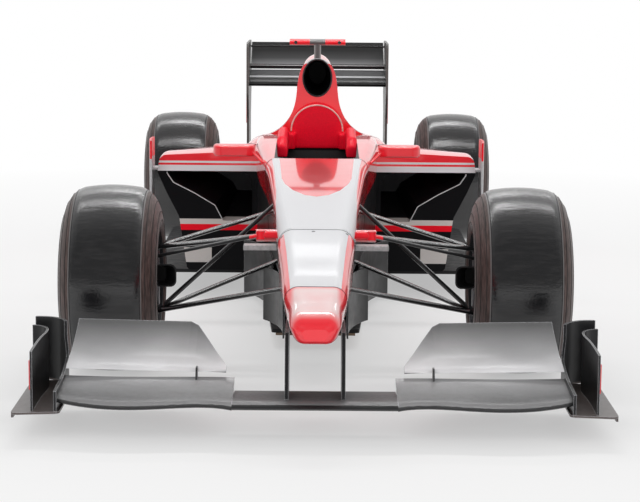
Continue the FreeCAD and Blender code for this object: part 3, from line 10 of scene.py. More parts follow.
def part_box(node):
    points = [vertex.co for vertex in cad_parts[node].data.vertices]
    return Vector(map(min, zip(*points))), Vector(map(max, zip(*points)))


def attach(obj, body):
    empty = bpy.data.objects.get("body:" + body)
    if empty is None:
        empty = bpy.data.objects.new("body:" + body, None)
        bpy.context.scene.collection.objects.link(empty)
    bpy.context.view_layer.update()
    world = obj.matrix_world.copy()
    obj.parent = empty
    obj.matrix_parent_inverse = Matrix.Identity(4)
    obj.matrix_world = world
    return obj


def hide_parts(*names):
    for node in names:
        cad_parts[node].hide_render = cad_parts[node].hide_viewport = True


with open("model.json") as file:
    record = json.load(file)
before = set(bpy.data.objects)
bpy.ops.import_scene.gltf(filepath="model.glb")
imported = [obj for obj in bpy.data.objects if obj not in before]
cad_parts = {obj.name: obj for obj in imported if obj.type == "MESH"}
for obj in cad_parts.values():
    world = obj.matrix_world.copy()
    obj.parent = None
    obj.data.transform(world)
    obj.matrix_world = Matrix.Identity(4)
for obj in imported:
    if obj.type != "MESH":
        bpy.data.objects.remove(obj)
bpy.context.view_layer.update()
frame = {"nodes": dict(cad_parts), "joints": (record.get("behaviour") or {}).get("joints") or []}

# Places read from the frame
CAD = frame["nodes"]
JOINTS = {joint["name"]: joint for joint in frame["joints"]}
FRONT_WHEEL = Vector(JOINTS["front_wheel_left_spin"]["pos_m"])
REAR_WHEEL = Vector(JOINTS["rear_wheel_left_spin"]["pos_m"])
HAND_WHEEL = Vector(JOINTS["hand_wheel_turn"]["pos_m"])
HAND_WHEEL_AXIS = Vector(JOINTS["hand_wheel_turn"]["axis"])
FRONT_AXLE = FRONT_WHEEL.y
REAR_AXLE = REAR_WHEEL.y
TYRE_RADIUS = FRONT_WHEEL.z
SIDES = (("left", 1), ("right", -1))


def behind(x, distance, z):
    """A point given by its distance behind the front axle."""
    return Vector((x, FRONT_AXLE + distance, z))


# The range that most values of a noise texture fall in
NOISE = (0.3, 0.7)


class Wiring:
    """Short calls to add and join the nodes of one tree."""

    def __init__(self, tree):
        self.tree = tree
        self.coordinates = None

    def add(self, kind, **settings):
        node = self.tree.nodes.new(kind)
        for setting, value in settings.items():
            setattr(node, setting, value)
        return node

    def link(self, source, target):
        self.tree.links.new(source, target)

    def place(self):
        """Object coordinates, which are metres in the car's own frame."""
        if self.coordinates is None:
            self.coordinates = self.add("ShaderNodeTexCoord").outputs["Object"]
        return self.coordinates

    def axes(self):
        split = self.add("ShaderNodeSeparateXYZ")
        self.link(self.place(), split.inputs[0])
        return split.outputs

    def car_axes(self):
        """Distance from the middle plane, distance behind the front axle, and height."""
        x, y, z = self.axes()
        return self.math("ABSOLUTE", x), self.math("SUBTRACT", y, FRONT_AXLE), z

    def math(self, operation, *values):
        node = self.add("ShaderNodeMath", operation=operation)
        for i, value in enumerate(values):
            if isinstance(value, (int, float)):
                node.inputs[i].default_value = value
            else:
                self.link(value, node.inputs[i])
        return node.outputs[0]

    def below(self, value, limit):
        return self.math("LESS_THAN", value, limit)

    def above(self, value, limit):
        return self.math("GREATER_THAN", value, limit)

    def near(self, value, middle, half):
        """1 where a value lies within half of the middle."""
        return self.below(self.math("ABSOLUTE", self.math("SUBTRACT", value, middle)), half)

    def all_of(self, *masks):
        """1 where every mask is 1."""
        whole = masks[0]
        for mask in masks[1:]:
            whole = self.math("MULTIPLY", whole, mask)
        return whole

    def without(self, mask, hole):
        """The mask, and 0 where the hole is 1."""
        return self.math("MULTIPLY", mask, self.math("SUBTRACT", 1.0, hole))

    def noise(self, scale, detail=4.0, stretch=(1, 1, 1)):
        place = self.place()
        if stretch != (1, 1, 1):
            mapping = self.add("ShaderNodeMapping")
            mapping.inputs["Scale"].default_value = stretch
            self.link(place, mapping.inputs["Vector"])
            place = mapping.outputs[0]
        node = self.add("ShaderNodeTexNoise")
        node.inputs["Scale"].default_value = scale
        node.inputs["Detail"].default_value = detail
        self.link(place, node.inputs["Vector"])
        return node.outputs["Fac"]

    def between(self, value, low, high, start=0.0, end=1.0):
        """A value's run from low to high, drawn out from start to end."""
        node = self.add("ShaderNodeMapRange")
        self.link(value, node.inputs["Value"])
        for socket, number in (("From Min", low), ("From Max", high), ("To Min", start), ("To Max", end)):
            node.inputs[socket].default_value = number
        return node.outputs[0]

    def profile(self, value, points):
        """A value that follows straight runs between (place, height) points."""
        low, high = points[0][0], points[-1][0]
        peak = max(height for place, height in points)
        ramp = self.add("ShaderNodeValToRGB")
        self.link(self.between(value, low, high), ramp.inputs["Fac"])
        stops = ramp.color_ramp.elements
        while len(stops) < len(points):
            stops.new(0.5)
        for stop, (place, height) in zip(stops, points):
            stop.position = (place - low) / (high - low)
            stop.color = (height / peak,) * 3 + (1,)
        return self.math("MULTIPLY", ramp.outputs["Color"], peak)

    def mix(self, mask, first, second):
        """Color first where the mask is 0 and second where it is 1; each is a color or a socket."""
        node = self.add("ShaderNodeMix", data_type="RGBA")
        self.link(mask, node.inputs["Factor"])
        for socket, color in ((node.inputs[6], first), (node.inputs[7], second)):
            if isinstance(color, tuple):
                socket.default_value = (*color, 1)
            else:
                self.link(color, socket)
        return node.outputs[2]

    def backdrop(self):
        """1 for the rays that look at the backdrop: from the camera, or off and through a surface."""
        paths = self.add("ShaderNodeLightPath")
        seen = paths.outputs["Is Camera Ray"]
        for other in ("Is Glossy Ray", "Is Transmission Ray"):
            seen = self.math("MAXIMUM", seen, paths.outputs[other])
        return seen


class Shader(Wiring):
    """A material with one principled shader."""

    def __init__(self, name, color, roughness, **sockets):
        self.material = bpy.data.materials.new(name)
        self.material.use_nodes = True
        super().__init__(self.material.node_tree)
        self.bsdf = self.tree.nodes["Principled BSDF"]
        self.bsdf.inputs["Base Color"].default_value = (*color, 1)
        self.bsdf.inputs["Roughness"].default_value = roughness
        for socket, value in sockets.items():
            self.bsdf.inputs[socket.replace("_", " ")].default_value = value

    def color(self, socket):
        self.link(socket, self.bsdf.inputs["Base Color"])

    def bump(self, height, distance):
        node = self.add("ShaderNodeBump")
        node.inputs["Distance"].default_value = distance
        self.link(height, node.inputs["Height"])
        self.link(node.outputs[0], self.bsdf.inputs["Normal"])

    def roughness(self, socket):
        self.link(socket, self.bsdf.inputs["Roughness"])

    def uneven(self, grain, low, high, detail=4.0):
        """Roughness that wanders between two values."""
        self.roughness(self.between(self.noise(grain, detail), *NOISE, low, high))


RED = (0.88, 0.010, 0.024)
WHITE = (0.74, 0.74, 0.76)
SILVER = (0.42, 0.42, 0.44)
BLACK = (0.008, 0.008, 0.009)
CARBON = (0.012, 0.012, 0.013)
NONE = (0.0, 0.0, 0.0)

# Half widths of the white top panel and of the red cowl inside it, by distance behind the front axle
WHITE_HALF = ((-0.905, 0.079), (-0.883, 0.080), (-0.581, 0.096), (-0.402, 0.108), (-0.40, 0.130),
              (-0.05, 0.142), (0.20, 0.146), (0.655, 0.166), (0.86, 0.178))
COWL_HALF = ((0.055, 0.0), (0.081, 0.043), (0.161, 0.085), (0.272, 0.116), (0.377, 0.130), (0.655, 0.140),
             (0.86, 0.148))
# Heights above which the tub and nose are painted, and the red strip left below the white panel
PAINT_LOW = ((-1.12, 0.30), (-0.60, 0.315), (-0.38, 0.41), (0.0, 0.455), (0.5, 0.495), (0.85, 0.515),
             (1.20, 0.535), (1.45, 0.555), (1.66, 0.575), (2.10, 0.58))
RED_STRIP = 0.02
# The bare inside of the cockpit
COCKPIT_HALF = 0.1685
COCKPIT_START, COCKPIT_END = 0.852, 1.602
# The painted reflection on the nose's tip, a pale patch in blotches that stands in for light reflected off the
# red: where it begins and is full at its front, back and sides
TIP_REFLECTION_FRONT = (-1.10, -1.06)
TIP_REFLECTION_BACK = (-0.895, -0.925)
TIP_REFLECTION_SIDE = (0.080, 0.064)
TIP_REFLECTION_COLOR = (0.76, 0.58, 0.57)
# The inlets are black up to this height, and their white lip ends at the next, with a red line in it
INLET_TOP = 0.554
LIP_TOP = 0.597
LIP_BACK = 1.62
LIP_LINE, LIP_LINE_HALF = 0.5835, 0.0045
# Heights below which the sidepods are dark, by distance behind the front axle, and the colors from there down
POD_DARK = ((1.44, INLET_TOP), (1.60, 0.545), (1.90, 0.50), (2.30, 0.42), (2.70, 0.35), (3.02, 0.28))
STRIPE_LOW = 0.298
POD_BANDS = ((0.347, (0.62, 0.57, 0.54)), (0.324, RED), (STRIPE_LOW, BLACK), (0.222, (0.60, 0.57, 0.55)),
             (0.158, BLACK))
POD_FOOT_HALF = 0.45
# The intake duct's half width, half height, middle height and ends, and the white crescent over it
DUCT_HALF, DUCT_RISE = 0.0635, 0.0815
DUCT_HEIGHT = 0.942
DUCT_START, DUCT_END = 1.668, 2.06
CRESCENT_LOW, CRESCENT_BACK = 1.004, 1.75
# Painted reflection on the front wing's flaps and main planes, as greys by distance, and the sloping line that
# parts them
FLAP_PAINTED_SHEEN = ((-0.87, 0.68), (-0.80, 0.52), (-0.70, 0.34), (-0.60, 0.17), (-0.53, 0.05), (-0.50, 0.04))
PLANE_PAINTED_SHEEN = ((-1.13, 0.20), (-1.08, 0.13), (-1.00, 0.13), (-0.92, 0.22), (-0.86, 0.30))
PART_SLOPE, PART_HEIGHT = 0.16, 0.032
# Painted reflection and highlight on the rear wing, as greys by height: a bright line at the main plane's nose
# and grey fades on the planes
REAR_PAINTED_SHEEN = ((0.78, 0.006), (0.8295, 0.006), (0.8300, 0.50), (0.8360, 0.50), (0.8370, 0.05), (0.872, 0.13),
             (0.885, 0.24), (0.897, 0.18), (0.925, 0.05), (0.965, 0.010), (1.02, 0.008))
# Half widths of the treads, out to the line at each shoulder, and how far out their middles lie
TREAD_HALF = {"front": 0.120, "rear": 0.128}
TREAD_MIDDLE = {"front": 0.7175, "rear": 0.7025}
# Turn of the lamp pattern per metre, for a wave each 15 mm
LAMP_PITCH = math.tau / 0.015


def gloss_paint(name, coat=1.0):
    """Red lacquer."""
    shader = Shader(name, RED, 0.30, Coat_Weight=coat, Coat_Roughness=0.05, Coat_IOR=1.5)
    shader.uneven(9.0, 0.28, 0.33, 1.0)
    shader.bump(shader.noise(260.0, 2.0), 0.00001)
    return shader


def dull(shader, mask):
    """Almost no lacquer and mirror where the mask is 1."""
    for socket, gloss, rest in (("Coat Weight", 1.0, 0.02), ("Specular IOR Level", 0.5, 0.04)):
        shader.link(shader.between(mask, 0.0, 1.0, gloss, rest), shader.bsdf.inputs[socket])


def hull_paint():
    """Red paint with the white top panel, over black carbon below and inside, and a painted pale reflection on
    the nose's tip.
    """
    shader = gloss_paint("hull_paint")
    across, along, z = shader.car_axes()
    low = shader.profile(along, PAINT_LOW)
    white = shader.all_of(shader.below(across, shader.profile(along, WHITE_HALF)),
                          shader.above(along, WHITE_HALF[0][0]), shader.below(along, WHITE_HALF[-1][0]),
                          shader.above(z, shader.math("ADD", low, RED_STRIP)))
    cowl = shader.all_of(shader.below(across, shader.profile(along, COWL_HALF)),
                         shader.above(along, COWL_HALF[0][0]))
    white = shader.without(white, cowl)
    inside = shader.all_of(shader.below(across, COCKPIT_HALF), shader.above(along, COCKPIT_START),
                           shader.below(along, COCKPIT_END))
    bare = shader.math("MAXIMUM", shader.below(z, low), inside)
    # Painted reflection: the red of the nose's tip turns pale in blotches
    tip_reflection = shader.all_of(shader.between(along, *TIP_REFLECTION_FRONT), shader.between(along, *TIP_REFLECTION_BACK),
                          shader.between(across, *TIP_REFLECTION_SIDE),
                          shader.between(shader.noise(9.0, 3.0), 0.25, 0.65, 0.75, 1.0))
    red = shader.mix(tip_reflection, RED, TIP_REFLECTION_COLOR)
    shader.color(shader.mix(bare, shader.mix(white, red, WHITE), CARBON))
    dull(shader, shader.math("MAXIMUM", bare, shader.math("MULTIPLY", white, 0.95)))
    return shader.material


def pod_paint():
    """Sidepod paint: red above, a white lip round the inlet, black below with two stripes."""
    shader = gloss_paint("pod_paint")
    across, along, z = shader.car_axes()
    dark = shader.below(z, shader.profile(along, POD_DARK))
    lip = shader.all_of(shader.below(z, LIP_TOP), shader.below(along, LIP_BACK))
    lip = shader.without(lip, shader.near(z, LIP_LINE, LIP_LINE_HALF))
    lower = BLACK
    for level, color in POD_BANDS:
        lower = shader.mix(shader.below(z, level), lower, color)
    foot = shader.all_of(shader.below(across, POD_FOOT_HALF), shader.below(z, STRIPE_LOW))
    lower = shader.mix(foot, lower, BLACK)
    shader.color(shader.mix(dark, shader.mix(lip, RED, WHITE), lower))
    dull(shader, shader.math("MAXIMUM", dark, shader.math("MULTIPLY", lip, 0.6)))
    return shader.material


def cover_paint():
    """Engine cover paint: red, with a white crescent over the air intake and a dark duct."""
    shader = gloss_paint("cover_paint")
    across, along, z = shader.car_axes()
    crescent = shader.all_of(shader.above(z, CRESCENT_LOW), shader.below(along, CRESCENT_BACK))
    sides = shader.math("DIVIDE", across, DUCT_HALF)
    height = shader.math("DIVIDE", shader.math("SUBTRACT", z, DUCT_HEIGHT), DUCT_RISE)
    ring = shader.math("ADD", shader.math("MULTIPLY", sides, sides), shader.math("MULTIPLY", height, height))
    duct = shader.all_of(shader.below(ring, 1.0), shader.above(along, DUCT_START),
                         shader.below(along, DUCT_END))
    shader.color(shader.mix(duct, shader.mix(crescent, RED, WHITE), BLACK))
    dull(shader, duct)
    return shader.material


def highlight_edge_mask(shader, radius):
    """1 where two faces meet within the radius, where the callers paint a pale highlight."""
    soft = shader.add("ShaderNodeBevel", samples=4)
    soft.inputs["Radius"].default_value = radius
    flat = shader.add("ShaderNodeNewGeometry")
    match = shader.add("ShaderNodeVectorMath", operation="DOT_PRODUCT")
    shader.link(soft.outputs[0], match.inputs[0])
    shader.link(flat.outputs["Normal"], match.inputs[1])
    return shader.between(match.outputs["Value"], 0.98, 0.86)


def carbon(name, color, roughness, coat, specular=0.22, edge=None):
    """Woven carbon under lacquer: a fine twill that only shows close up, and a painted highlight in the edge
    color along its edges when one is given.
    """
    shader = Shader(name, color, roughness, Coat_Weight=coat, Coat_Roughness=0.08,
                    Specular_IOR_Level=specular)
    waves = []
    for turn in (45, -45):
        mapping = shader.add("ShaderNodeMapping")
        mapping.inputs["Rotation"].default_value = (0, 0, math.radians(turn))
        shader.link(shader.place(), mapping.inputs["Vector"])
        wave = shader.add("ShaderNodeTexWave", bands_direction="X")
        wave.inputs["Scale"].default_value = 120.0
        shader.link(mapping.outputs[0], wave.inputs["Vector"])
        waves.append(wave.outputs["Fac"])
    weave = shader.math("MULTIPLY", *waves)
    light = tuple(min(1.0, part * 1.35 + 0.003) for part in color)
    tone = shader.mix(shader.between(weave, 0.1, 0.8), color, light)
    # Painted highlight: the edge color along the edges
    if edge:
        tone = shader.mix(highlight_edge_mask(shader, 0.0035), tone, edge)
    shader.color(tone)
    shader.uneven(30.0, roughness * 0.85, roughness * 1.2)
    return shader.material


def wing_painted_sheen():
    """Satin wing lacquer painted grey as a reflection of the sky, darker towards the trailing edges, with a
    painted highlight along its edges, over a black underside.
    """
    shader = Shader("wing_painted_sheen", (0.3, 0.3, 0.32), 0.34, Specular_IOR_Level=0.25, Coat_Weight=0.08,
                    Coat_Roughness=0.1)
    across, along, z = shader.car_axes()
    upper = shader.above(shader.math("ADD", z, shader.math("MULTIPLY", along, PART_SLOPE)), PART_HEIGHT)
    # Painted reflection: grey levels by distance stand in for the sky mirrored in the planes
    level = shader.add("ShaderNodeMix", data_type="FLOAT")
    shader.link(upper, level.inputs["Factor"])
    shader.link(shader.profile(along, PLANE_PAINTED_SHEEN), level.inputs[2])
    shader.link(shader.profile(along, FLAP_PAINTED_SHEEN), level.inputs[3])
    cloud = shader.between(shader.noise(5.0, 2.0), *NOISE, 0.90, 1.08)
    mixed = shader.mix(shader.math("MULTIPLY", level.outputs[0], cloud), NONE, (0.98, 0.98, 1.0))
    # Painted highlight along the edges
    edge_highlighted = shader.mix(highlight_edge_mask(shader, 0.003), mixed, (0.50, 0.50, 0.52))
    facing = shader.add("ShaderNodeSeparateXYZ")
    shader.link(shader.add("ShaderNodeNewGeometry").outputs["Normal"], facing.inputs[0])
    under = shader.below(facing.outputs["Z"], shader.between(upper, 0.0, 1.0, 0.90, 0.1))
    shader.color(shader.mix(under, edge_highlighted, CARBON))
    shader.uneven(60.0, 0.30, 0.40)
    return shader.material


def rear_wing_painted_sheen():
    """Black lacquer of the rear wing with a painted reflection as a grey fade on each plane and a painted
    highlight as a bright line at its nose.
    """
    shader = Shader("rear_black_painted_sheen", BLACK, 0.34, Coat_Weight=0.1, Coat_Roughness=0.1, Specular_IOR_Level=0.25)
    height = shader.axes()[2]
    # Painted reflection and highlight: greys by height over the black lacquer
    shader.color(shader.mix(shader.profile(height, REAR_PAINTED_SHEEN), NONE, (0.97, 0.98, 1.0)))
    shader.uneven(40.0, 0.30, 0.38)
    return shader.material


def tyre_rubber():
    """Slick rubber: scuffed tread, brown tinted walls, and a pale line at each shoulder."""
    shader = Shader("tyre_rubber", BLACK, 0.34, Sheen_Weight=0.3, Sheen_Roughness=0.3)
    x, y, z = shader.axes()
    rear = shader.above(y, 0.0)
    middle, half = (shader.between(rear, 0.0, 1.0, size["front"], size["rear"])
                    for size in (TREAD_MIDDLE, TREAD_HALF))
    off = shader.math("ABSOLUTE", shader.math("SUBTRACT", shader.math("ABSOLUTE", x), middle))
    out = shader.math("DIVIDE", off, half)
    scuffs = shader.noise(14.0, 8.0, (1.0, 6.0, 6.0))
    rings = shader.noise(60.0, 3.0, (6.0, 0.4, 0.4))
    wall = shader.between(out, 0.99, 1.06)
    tread = shader.mix(shader.between(scuffs, 0.45, 0.8), (0.006, 0.006, 0.007), (0.020, 0.019, 0.020))
    side = shader.mix(shader.between(rings, 0.35, 0.7), (0.034, 0.021, 0.018), (0.115, 0.076, 0.070))
    shader.color(shader.mix(shader.near(out, 1.02, 0.02), shader.mix(wall, tread, side), (0.15, 0.14, 0.14)))
    shader.roughness(shader.between(wall, 0.0, 1.0, 0.20, 0.52))
    shader.link(shader.between(wall, 0.0, 1.0, 0.75, 0.30), shader.bsdf.inputs["Specular IOR Level"])
    shader.bump(shader.math("ADD", shader.noise(160.0, 3.0), shader.math("MULTIPLY", scuffs, 1.5)), 0.0005)
    return shader.material


def plain(name, color, roughness, grain=60.0, depth=0.0001, **sockets):
    """A finish with slight changes of tone and gloss."""
    shader = Shader(name, color, roughness, **sockets)
    cloud = shader.noise(grain)
    dark = tuple(part * 0.8 for part in color)
    light = tuple(min(1.0, part * 1.15) for part in color)
    shader.color(shader.mix(shader.between(cloud, *NOISE), dark, light))
    shader.roughness(shader.between(cloud, *NOISE, roughness * 0.85, min(1.0, roughness * 1.2)))
    shader.bump(shader.noise(grain * 6), depth)
    return shader.material


def banded(name, base, bands, edge=(0.20, 0.20, 0.21)):
    """Lacquer with bands of other colors and a painted highlight in the edge color along its edges; each band
    is (axis, low, high, color).
    """
    shader = Shader(name, base, 0.32, Coat_Weight=0.1, Coat_Roughness=0.08, Specular_IOR_Level=0.25)
    values = dict(zip(("across", "along", "height"), shader.car_axes()))
    tone = shader.mix(shader.between(shader.noise(40.0), *NOISE), base, tuple(part * 1.2 for part in base))
    for axis, low, high, color in bands:
        spot = shader.all_of(shader.above(values[axis], low), shader.below(values[axis], high))
        tone = shader.mix(spot, tone, color)
    # Painted highlight: the edge color along the edges
    shader.color(shader.mix(highlight_edge_mask(shader, 0.003), tone, edge))
    shader.uneven(40.0, 0.29, 0.35)
    return shader.material


def lamp_lens():
    """A red lens over rows of small lamps."""
    shader = Shader("lamp_lens", (0.35, 0.008, 0.012), 0.18, Coat_Weight=1.0)
    x, y, z = shader.axes()
    waves = [shader.math("SINE", shader.math("MULTIPLY", value, LAMP_PITCH)) for value in (x, z)]
    cells = shader.math("MULTIPLY", *waves)
    shader.color(shader.mix(shader.between(cells, -0.2, 0.8), (0.16, 0.004, 0.006), (0.70, 0.03, 0.04)))
    shader.uneven(50.0, 0.14, 0.22)
    shader.bump(cells, 0.0006)
    return shader.material


HULL = hull_paint()
POD = pod_paint()
COVER = cover_paint()
RED_PAINT = gloss_paint("red_paint", coat=0.6).material
WING_PAINTED_SHEEN = wing_painted_sheen()
REAR_BLACK_PAINTED_SHEEN = rear_wing_painted_sheen()
# The edge colors given to these finishes are painted highlights
ENDPLATE = banded("endplate_carbon", CARBON, (("height", 0.0, 0.1015, (0.11, 0.09, 0.085)),), SILVER)
REAR_PLATE = carbon("rear_plate_carbon", (0.085, 0.082, 0.078), 0.40, coat=0.1, edge=(0.22, 0.21, 0.20))
GLOSS_CARBON = carbon("gloss_carbon", CARBON, 0.34, coat=0.05, edge=(0.30, 0.30, 0.31))
SATIN_CARBON = carbon("satin_carbon", CARBON, 0.50, coat=0.0)
ARM_CARBON = carbon("arm_carbon", CARBON, 0.20, coat=0.3, specular=0.4)
# Camera pod: red ends, and a painted sheen in grey on its top above 1.108 m
CAMERA_SHELL_AND_SHEEN = banded("camera_shell_and_sheen", (0.10, 0.095, 0.095),
                      (("across", 0.034, 0.2, RED), ("height", 1.108, 1.2, (0.45, 0.45, 0.46))))
RACK_PAINT = banded("rack_paint", CARBON, (("across", 0.0, 0.228, RED),))
VANE_PAINT = banded("vane_paint", (0.46, 0.46, 0.47), (("height", 0.612, 0.8, RED),))
RUBBER = tyre_rubber()
RIM_METAL = plain("rim_metal", (0.05, 0.05, 0.055), 0.35, Metallic=0.7)
RAW_METAL = plain("raw_metal", SILVER, 0.38, Metallic=1.0)
BRIGHT_METAL = plain("bright_metal", (0.62, 0.62, 0.64), 0.25, Metallic=1.0)
DARK_METAL = plain("dark_metal", (0.16, 0.16, 0.17), 0.42, Metallic=0.9)
DISC_CARBON = plain("disc_carbon", (0.055, 0.053, 0.05), 0.6, grain=220.0, depth=0.0003)
WOOD = plain("skid_wood", (0.20, 0.13, 0.08), 0.65, grain=12.0)
PAD = plain("pad_skin", (0.93, 0.004, 0.026), 0.5, grain=300.0, depth=0.0002, Specular_IOR_Level=0.15,
            Coat_Weight=0.1, Coat_Roughness=0.1)
STRAP = plain("strap_weave", (0.55, 0.008, 0.02), 0.8, grain=500.0, depth=0.0004)
GRIP = plain("grip_rubber", (0.02, 0.02, 0.02), 0.7, grain=90.0, depth=0.0006)
LAMP = lamp_lens()
GLASS = plain("dark_glass", (0.012, 0.014, 0.018), 0.08, grain=40.0, depth=0.00002, Coat_Weight=1.0)
# Pale finish of the rack fairings, also used for the wires that paint highlights at the inlet mouths and the
# rear flap's nose
PALE_TRIM_AND_HIGHLIGHT = plain("pale_trim_and_highlight", (0.64, 0.64, 0.65), 0.35, grain=80.0)
# Pale pink of the arc that paints the headrest's edge highlight
HEADREST_HIGHLIGHT = plain("headrest_highlight_paint", (0.80, 0.50, 0.46), 0.4, grain=90.0)
MIRROR = plain("mirror_face", (0.85, 0.86, 0.88), 0.04, grain=20.0, depth=0.00001, Metallic=1.0)
SEAM = plain("seam_shadow", (0.02, 0.018, 0.018), 0.8, grain=200.0, Specular_IOR_Level=0.1)

finishes = {
    HULL: ("monocoque", "nose_cone"),
    POD: ("sidepod_left", "sidepod_right"),
    COVER: ("engine_cover",),
    RED_PAINT: ("mirrors",),
    WING_PAINTED_SHEEN: ("front_wing_main", "front_flaps"),
    REAR_BLACK_PAINTED_SHEEN: ("rear_wing_main", "rear_wing_flap"),
    REAR_PLATE: ("rear_endplates",),
    ENDPLATE: ("front_endplates",),
    CAMERA_SHELL_AND_SHEEN: ("camera_pod",),
    VANE_PAINT: ("pod_vanes",),
    RACK_PAINT: ("steering_rack",),
    GLOSS_CARBON: ("beam_wing", "nose_pylons", "flap_brackets", "turning_vanes", "bargeboards"),
    SATIN_CARBON: ("floor", "diffuser", "seat", "gearbox", "front_duct_left", "front_duct_right",
                   "rear_uprights"),
    ARM_CARBON: ("front_wishbones", "front_pushrods", "rear_wishbones", "rear_pullrods"),
    RUBBER: ("front_tyre_left", "front_tyre_right", "rear_tyre_left", "rear_tyre_right"),
    RIM_METAL: ("front_rim_left", "front_rim_right", "rear_rim_left", "rear_rim_right"),
    RAW_METAL: ("front_upright_left", "front_upright_right", "drive_shafts", "exhausts"),
    DARK_METAL: ("engine_block",),
    WOOD: ("plank",),
    PAD: ("headrest",),
    GRIP: ("steering_wheel",),
    LAMP: ("rain_light",),
}
for material, names in finishes.items():
    for name in names:
        CAD[name].data.materials.clear()
        CAD[name].data.materials.append(material)

# Helpers for the small pieces
TREES = {}
CRISP = math.radians(35)
WELD = 0.00001


def shown(name, data):
    """An object for some data, in the scene."""
    made = bpy.data.objects.new(name, data)
    bpy.context.scene.collection.objects.link(made)
    return made


def piece(name, work, material, body, bevel=0.0):
    """A mesh piece that rides on a body."""
    bmesh.ops.recalc_face_normals(work, faces=work.faces)
    mesh = bpy.data.meshes.new(name)
    work.to_mesh(mesh)
    work.free()
    mesh.shade_smooth()
    mesh.set_sharp_from_angle(angle=CRISP)
    mesh.materials.append(material)
    made = shown(name, mesh)
    if bevel:
        edge = made.modifiers.new("edge", "BEVEL")
        edge.width = bevel
        edge.segments = 2
        edge.limit_method = "ANGLE"
    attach(made, body)
    return made


def wires(name, lines, radius, material, body, closed=False):
    """Round wires along lines of points, as one curve piece."""
    curve = bpy.data.curves.new(name, "CURVE")
    curve.dimensions = "3D"
    curve.bevel_depth = radius
    curve.bevel_resolution = 1
    for line in lines:
        run = curve.splines.new("POLY")
        run.points.add(len(line) - 1)
        for point, place in zip(run.points, line):
            point.co = (*place, 1)
        run.use_cyclic_u = closed
    curve.materials.append(material)
    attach(shown(name, curve), body)


def circle(count, radius, rise=None):
    """Evenly spaced points of a circle, or of an upright ellipse if its half height is given."""
    for i in range(count):
        angle = math.tau * i / count
        yield radius * math.cos(angle), (radius if rise is None else rise) * math.sin(angle)


def ring_faces(work, rows, whole):
    """Faces between rows of vertices; the first and last rows are joined, or else capped."""
    for first, second in zip(rows, rows[1:] + (rows[:1] if whole else [])):
        for i in range(len(first)):
            j = (i + 1) % len(first)
            work.faces.new((first[i], first[j], second[j], second[i]))
    if not whole:
        work.faces.new(rows[0])
        work.faces.new(rows[-1])


def about(centre, across, radius, angle):
    """The place at a distance across, a radius and an angle about the X axis through the centre."""
    return centre + Vector((across, radius * math.cos(angle), radius * math.sin(angle)))


def turned(work, centre, profile, steps=96, start=0.0, sweep=math.tau):
    """A ring about the X axis through the centre, from a closed profile of (across, radius) points."""
    whole = sweep >= math.tau
    rows = []
    for step in range(steps if whole else steps + 1):
        angle = start + sweep * step / steps
        rows.append([work.verts.new(about(centre, across, radius, angle)) for across, radius in profile])
    ring_faces(work, rows, whole)


def band(side, inner, outer, low, high):
    """A rectangular profile for turned, between two distances across and two radii."""
    return [(side * inner, low), (side * outer, low), (side * outer, high), (side * inner, high)]


def about_hub(centre, share):
    """A turn about the X axis through the centre, by a share of a full turn."""
    return Matrix.Translation(centre) @ Matrix.Rotation(math.tau * share, 4, "X")


def block(work, first, second, turn=None):
    """A block between two corners, turned by a matrix if one is given."""
    first, second = Vector(first), Vector(second)
    for vert in bmesh.ops.create_cube(work, size=1.0)["verts"]:
        sized = Vector(part * abs(extent) for part, extent in zip(vert.co, second - first))
        vert.co = sized + (first + second) / 2
        if turn is not None:
            vert.co = turn @ vert.co


def box_at(side, across, along, height):
    """Two corners of a block on one side, from its ranges across, behind the front axle and in height."""
    return behind(side * across[0], along[0], height[0]), behind(side * across[1], along[1], height[1])


def blocks(name, material, body, bevel, corners, turn=None):
    """A piece made of blocks, each given by two corners."""
    work = bmesh.new()
    for first, second in corners:
        block(work, first, second, turn)
    piece(name, work, material, body, bevel)


def stud(work, centre, normal, radius, height, sides=16, top=0.75):
    """A low round head on a surface, smaller at its top."""
    turn = Vector(normal).to_track_quat("Z", "Y").to_matrix()
    rows = []
    for share, rise in ((1.0, -height), (1.0, height * 0.6), (top, height)):
        rows.append([work.verts.new(centre + turn @ Vector((x, y, rise)))
                     for x, y in circle(sides, radius * share)])
    ring_faces(work, rows, False)


def placed_mesh(node):
    """A welded copy of a CAD node's mesh."""
    work = bmesh.new()
    work.from_mesh(CAD[node].data)
    bmesh.ops.remove_doubles(work, verts=work.verts, dist=WELD)
    return work


def skin(node):
    """A search tree of a CAD node's surface."""
    if node not in TREES:
        work = placed_mesh(node)
        TREES[node] = BVHTree.FromBMesh(work)
        work.free()
    return TREES[node]


def hit(node, start, way):
    """The place and outward normal where a ray meets a CAD node, or None."""
    place, normal = skin(node).ray_cast(Vector(start), Vector(way).normalized())[:2]
    if place is None:
        return None
    return place, normal if normal.dot(Vector(way)) < 0 else -normal


def slices(node, distance, keep):
    """Lines of points where the plane at a distance behind the front axle cuts a CAD node's skin."""
    work = placed_mesh(node)
    cut = bmesh.ops.bisect_plane(work, geom=work.verts[:] + work.edges[:] + work.faces[:],
                                 plane_co=behind(0, distance, 0), plane_no=(0, 1, 0), clear_inner=True,
                                 clear_outer=True)
    near = {}
    for edge in cut["geom_cut"]:
        if isinstance(edge, bmesh.types.BMEdge) and keep((edge.verts[0].co + edge.verts[1].co) / 2):
            near.setdefault(edge.verts[0], []).append(edge.verts[1])
            near.setdefault(edge.verts[1], []).append(edge.verts[0])
    lines = []
    left = dict.fromkeys(near)
    while left:
        vert = next((end for end in left if len(near[end]) == 1), None) or next(iter(left))
        line = []
        while vert is not None:
            del left[vert]
            line.append(vert.co.copy())
            vert = next((other for other in near[vert] if other in left), None)
        if len(line) > 2:
            lines.append(line)
    work.free()
    return lines


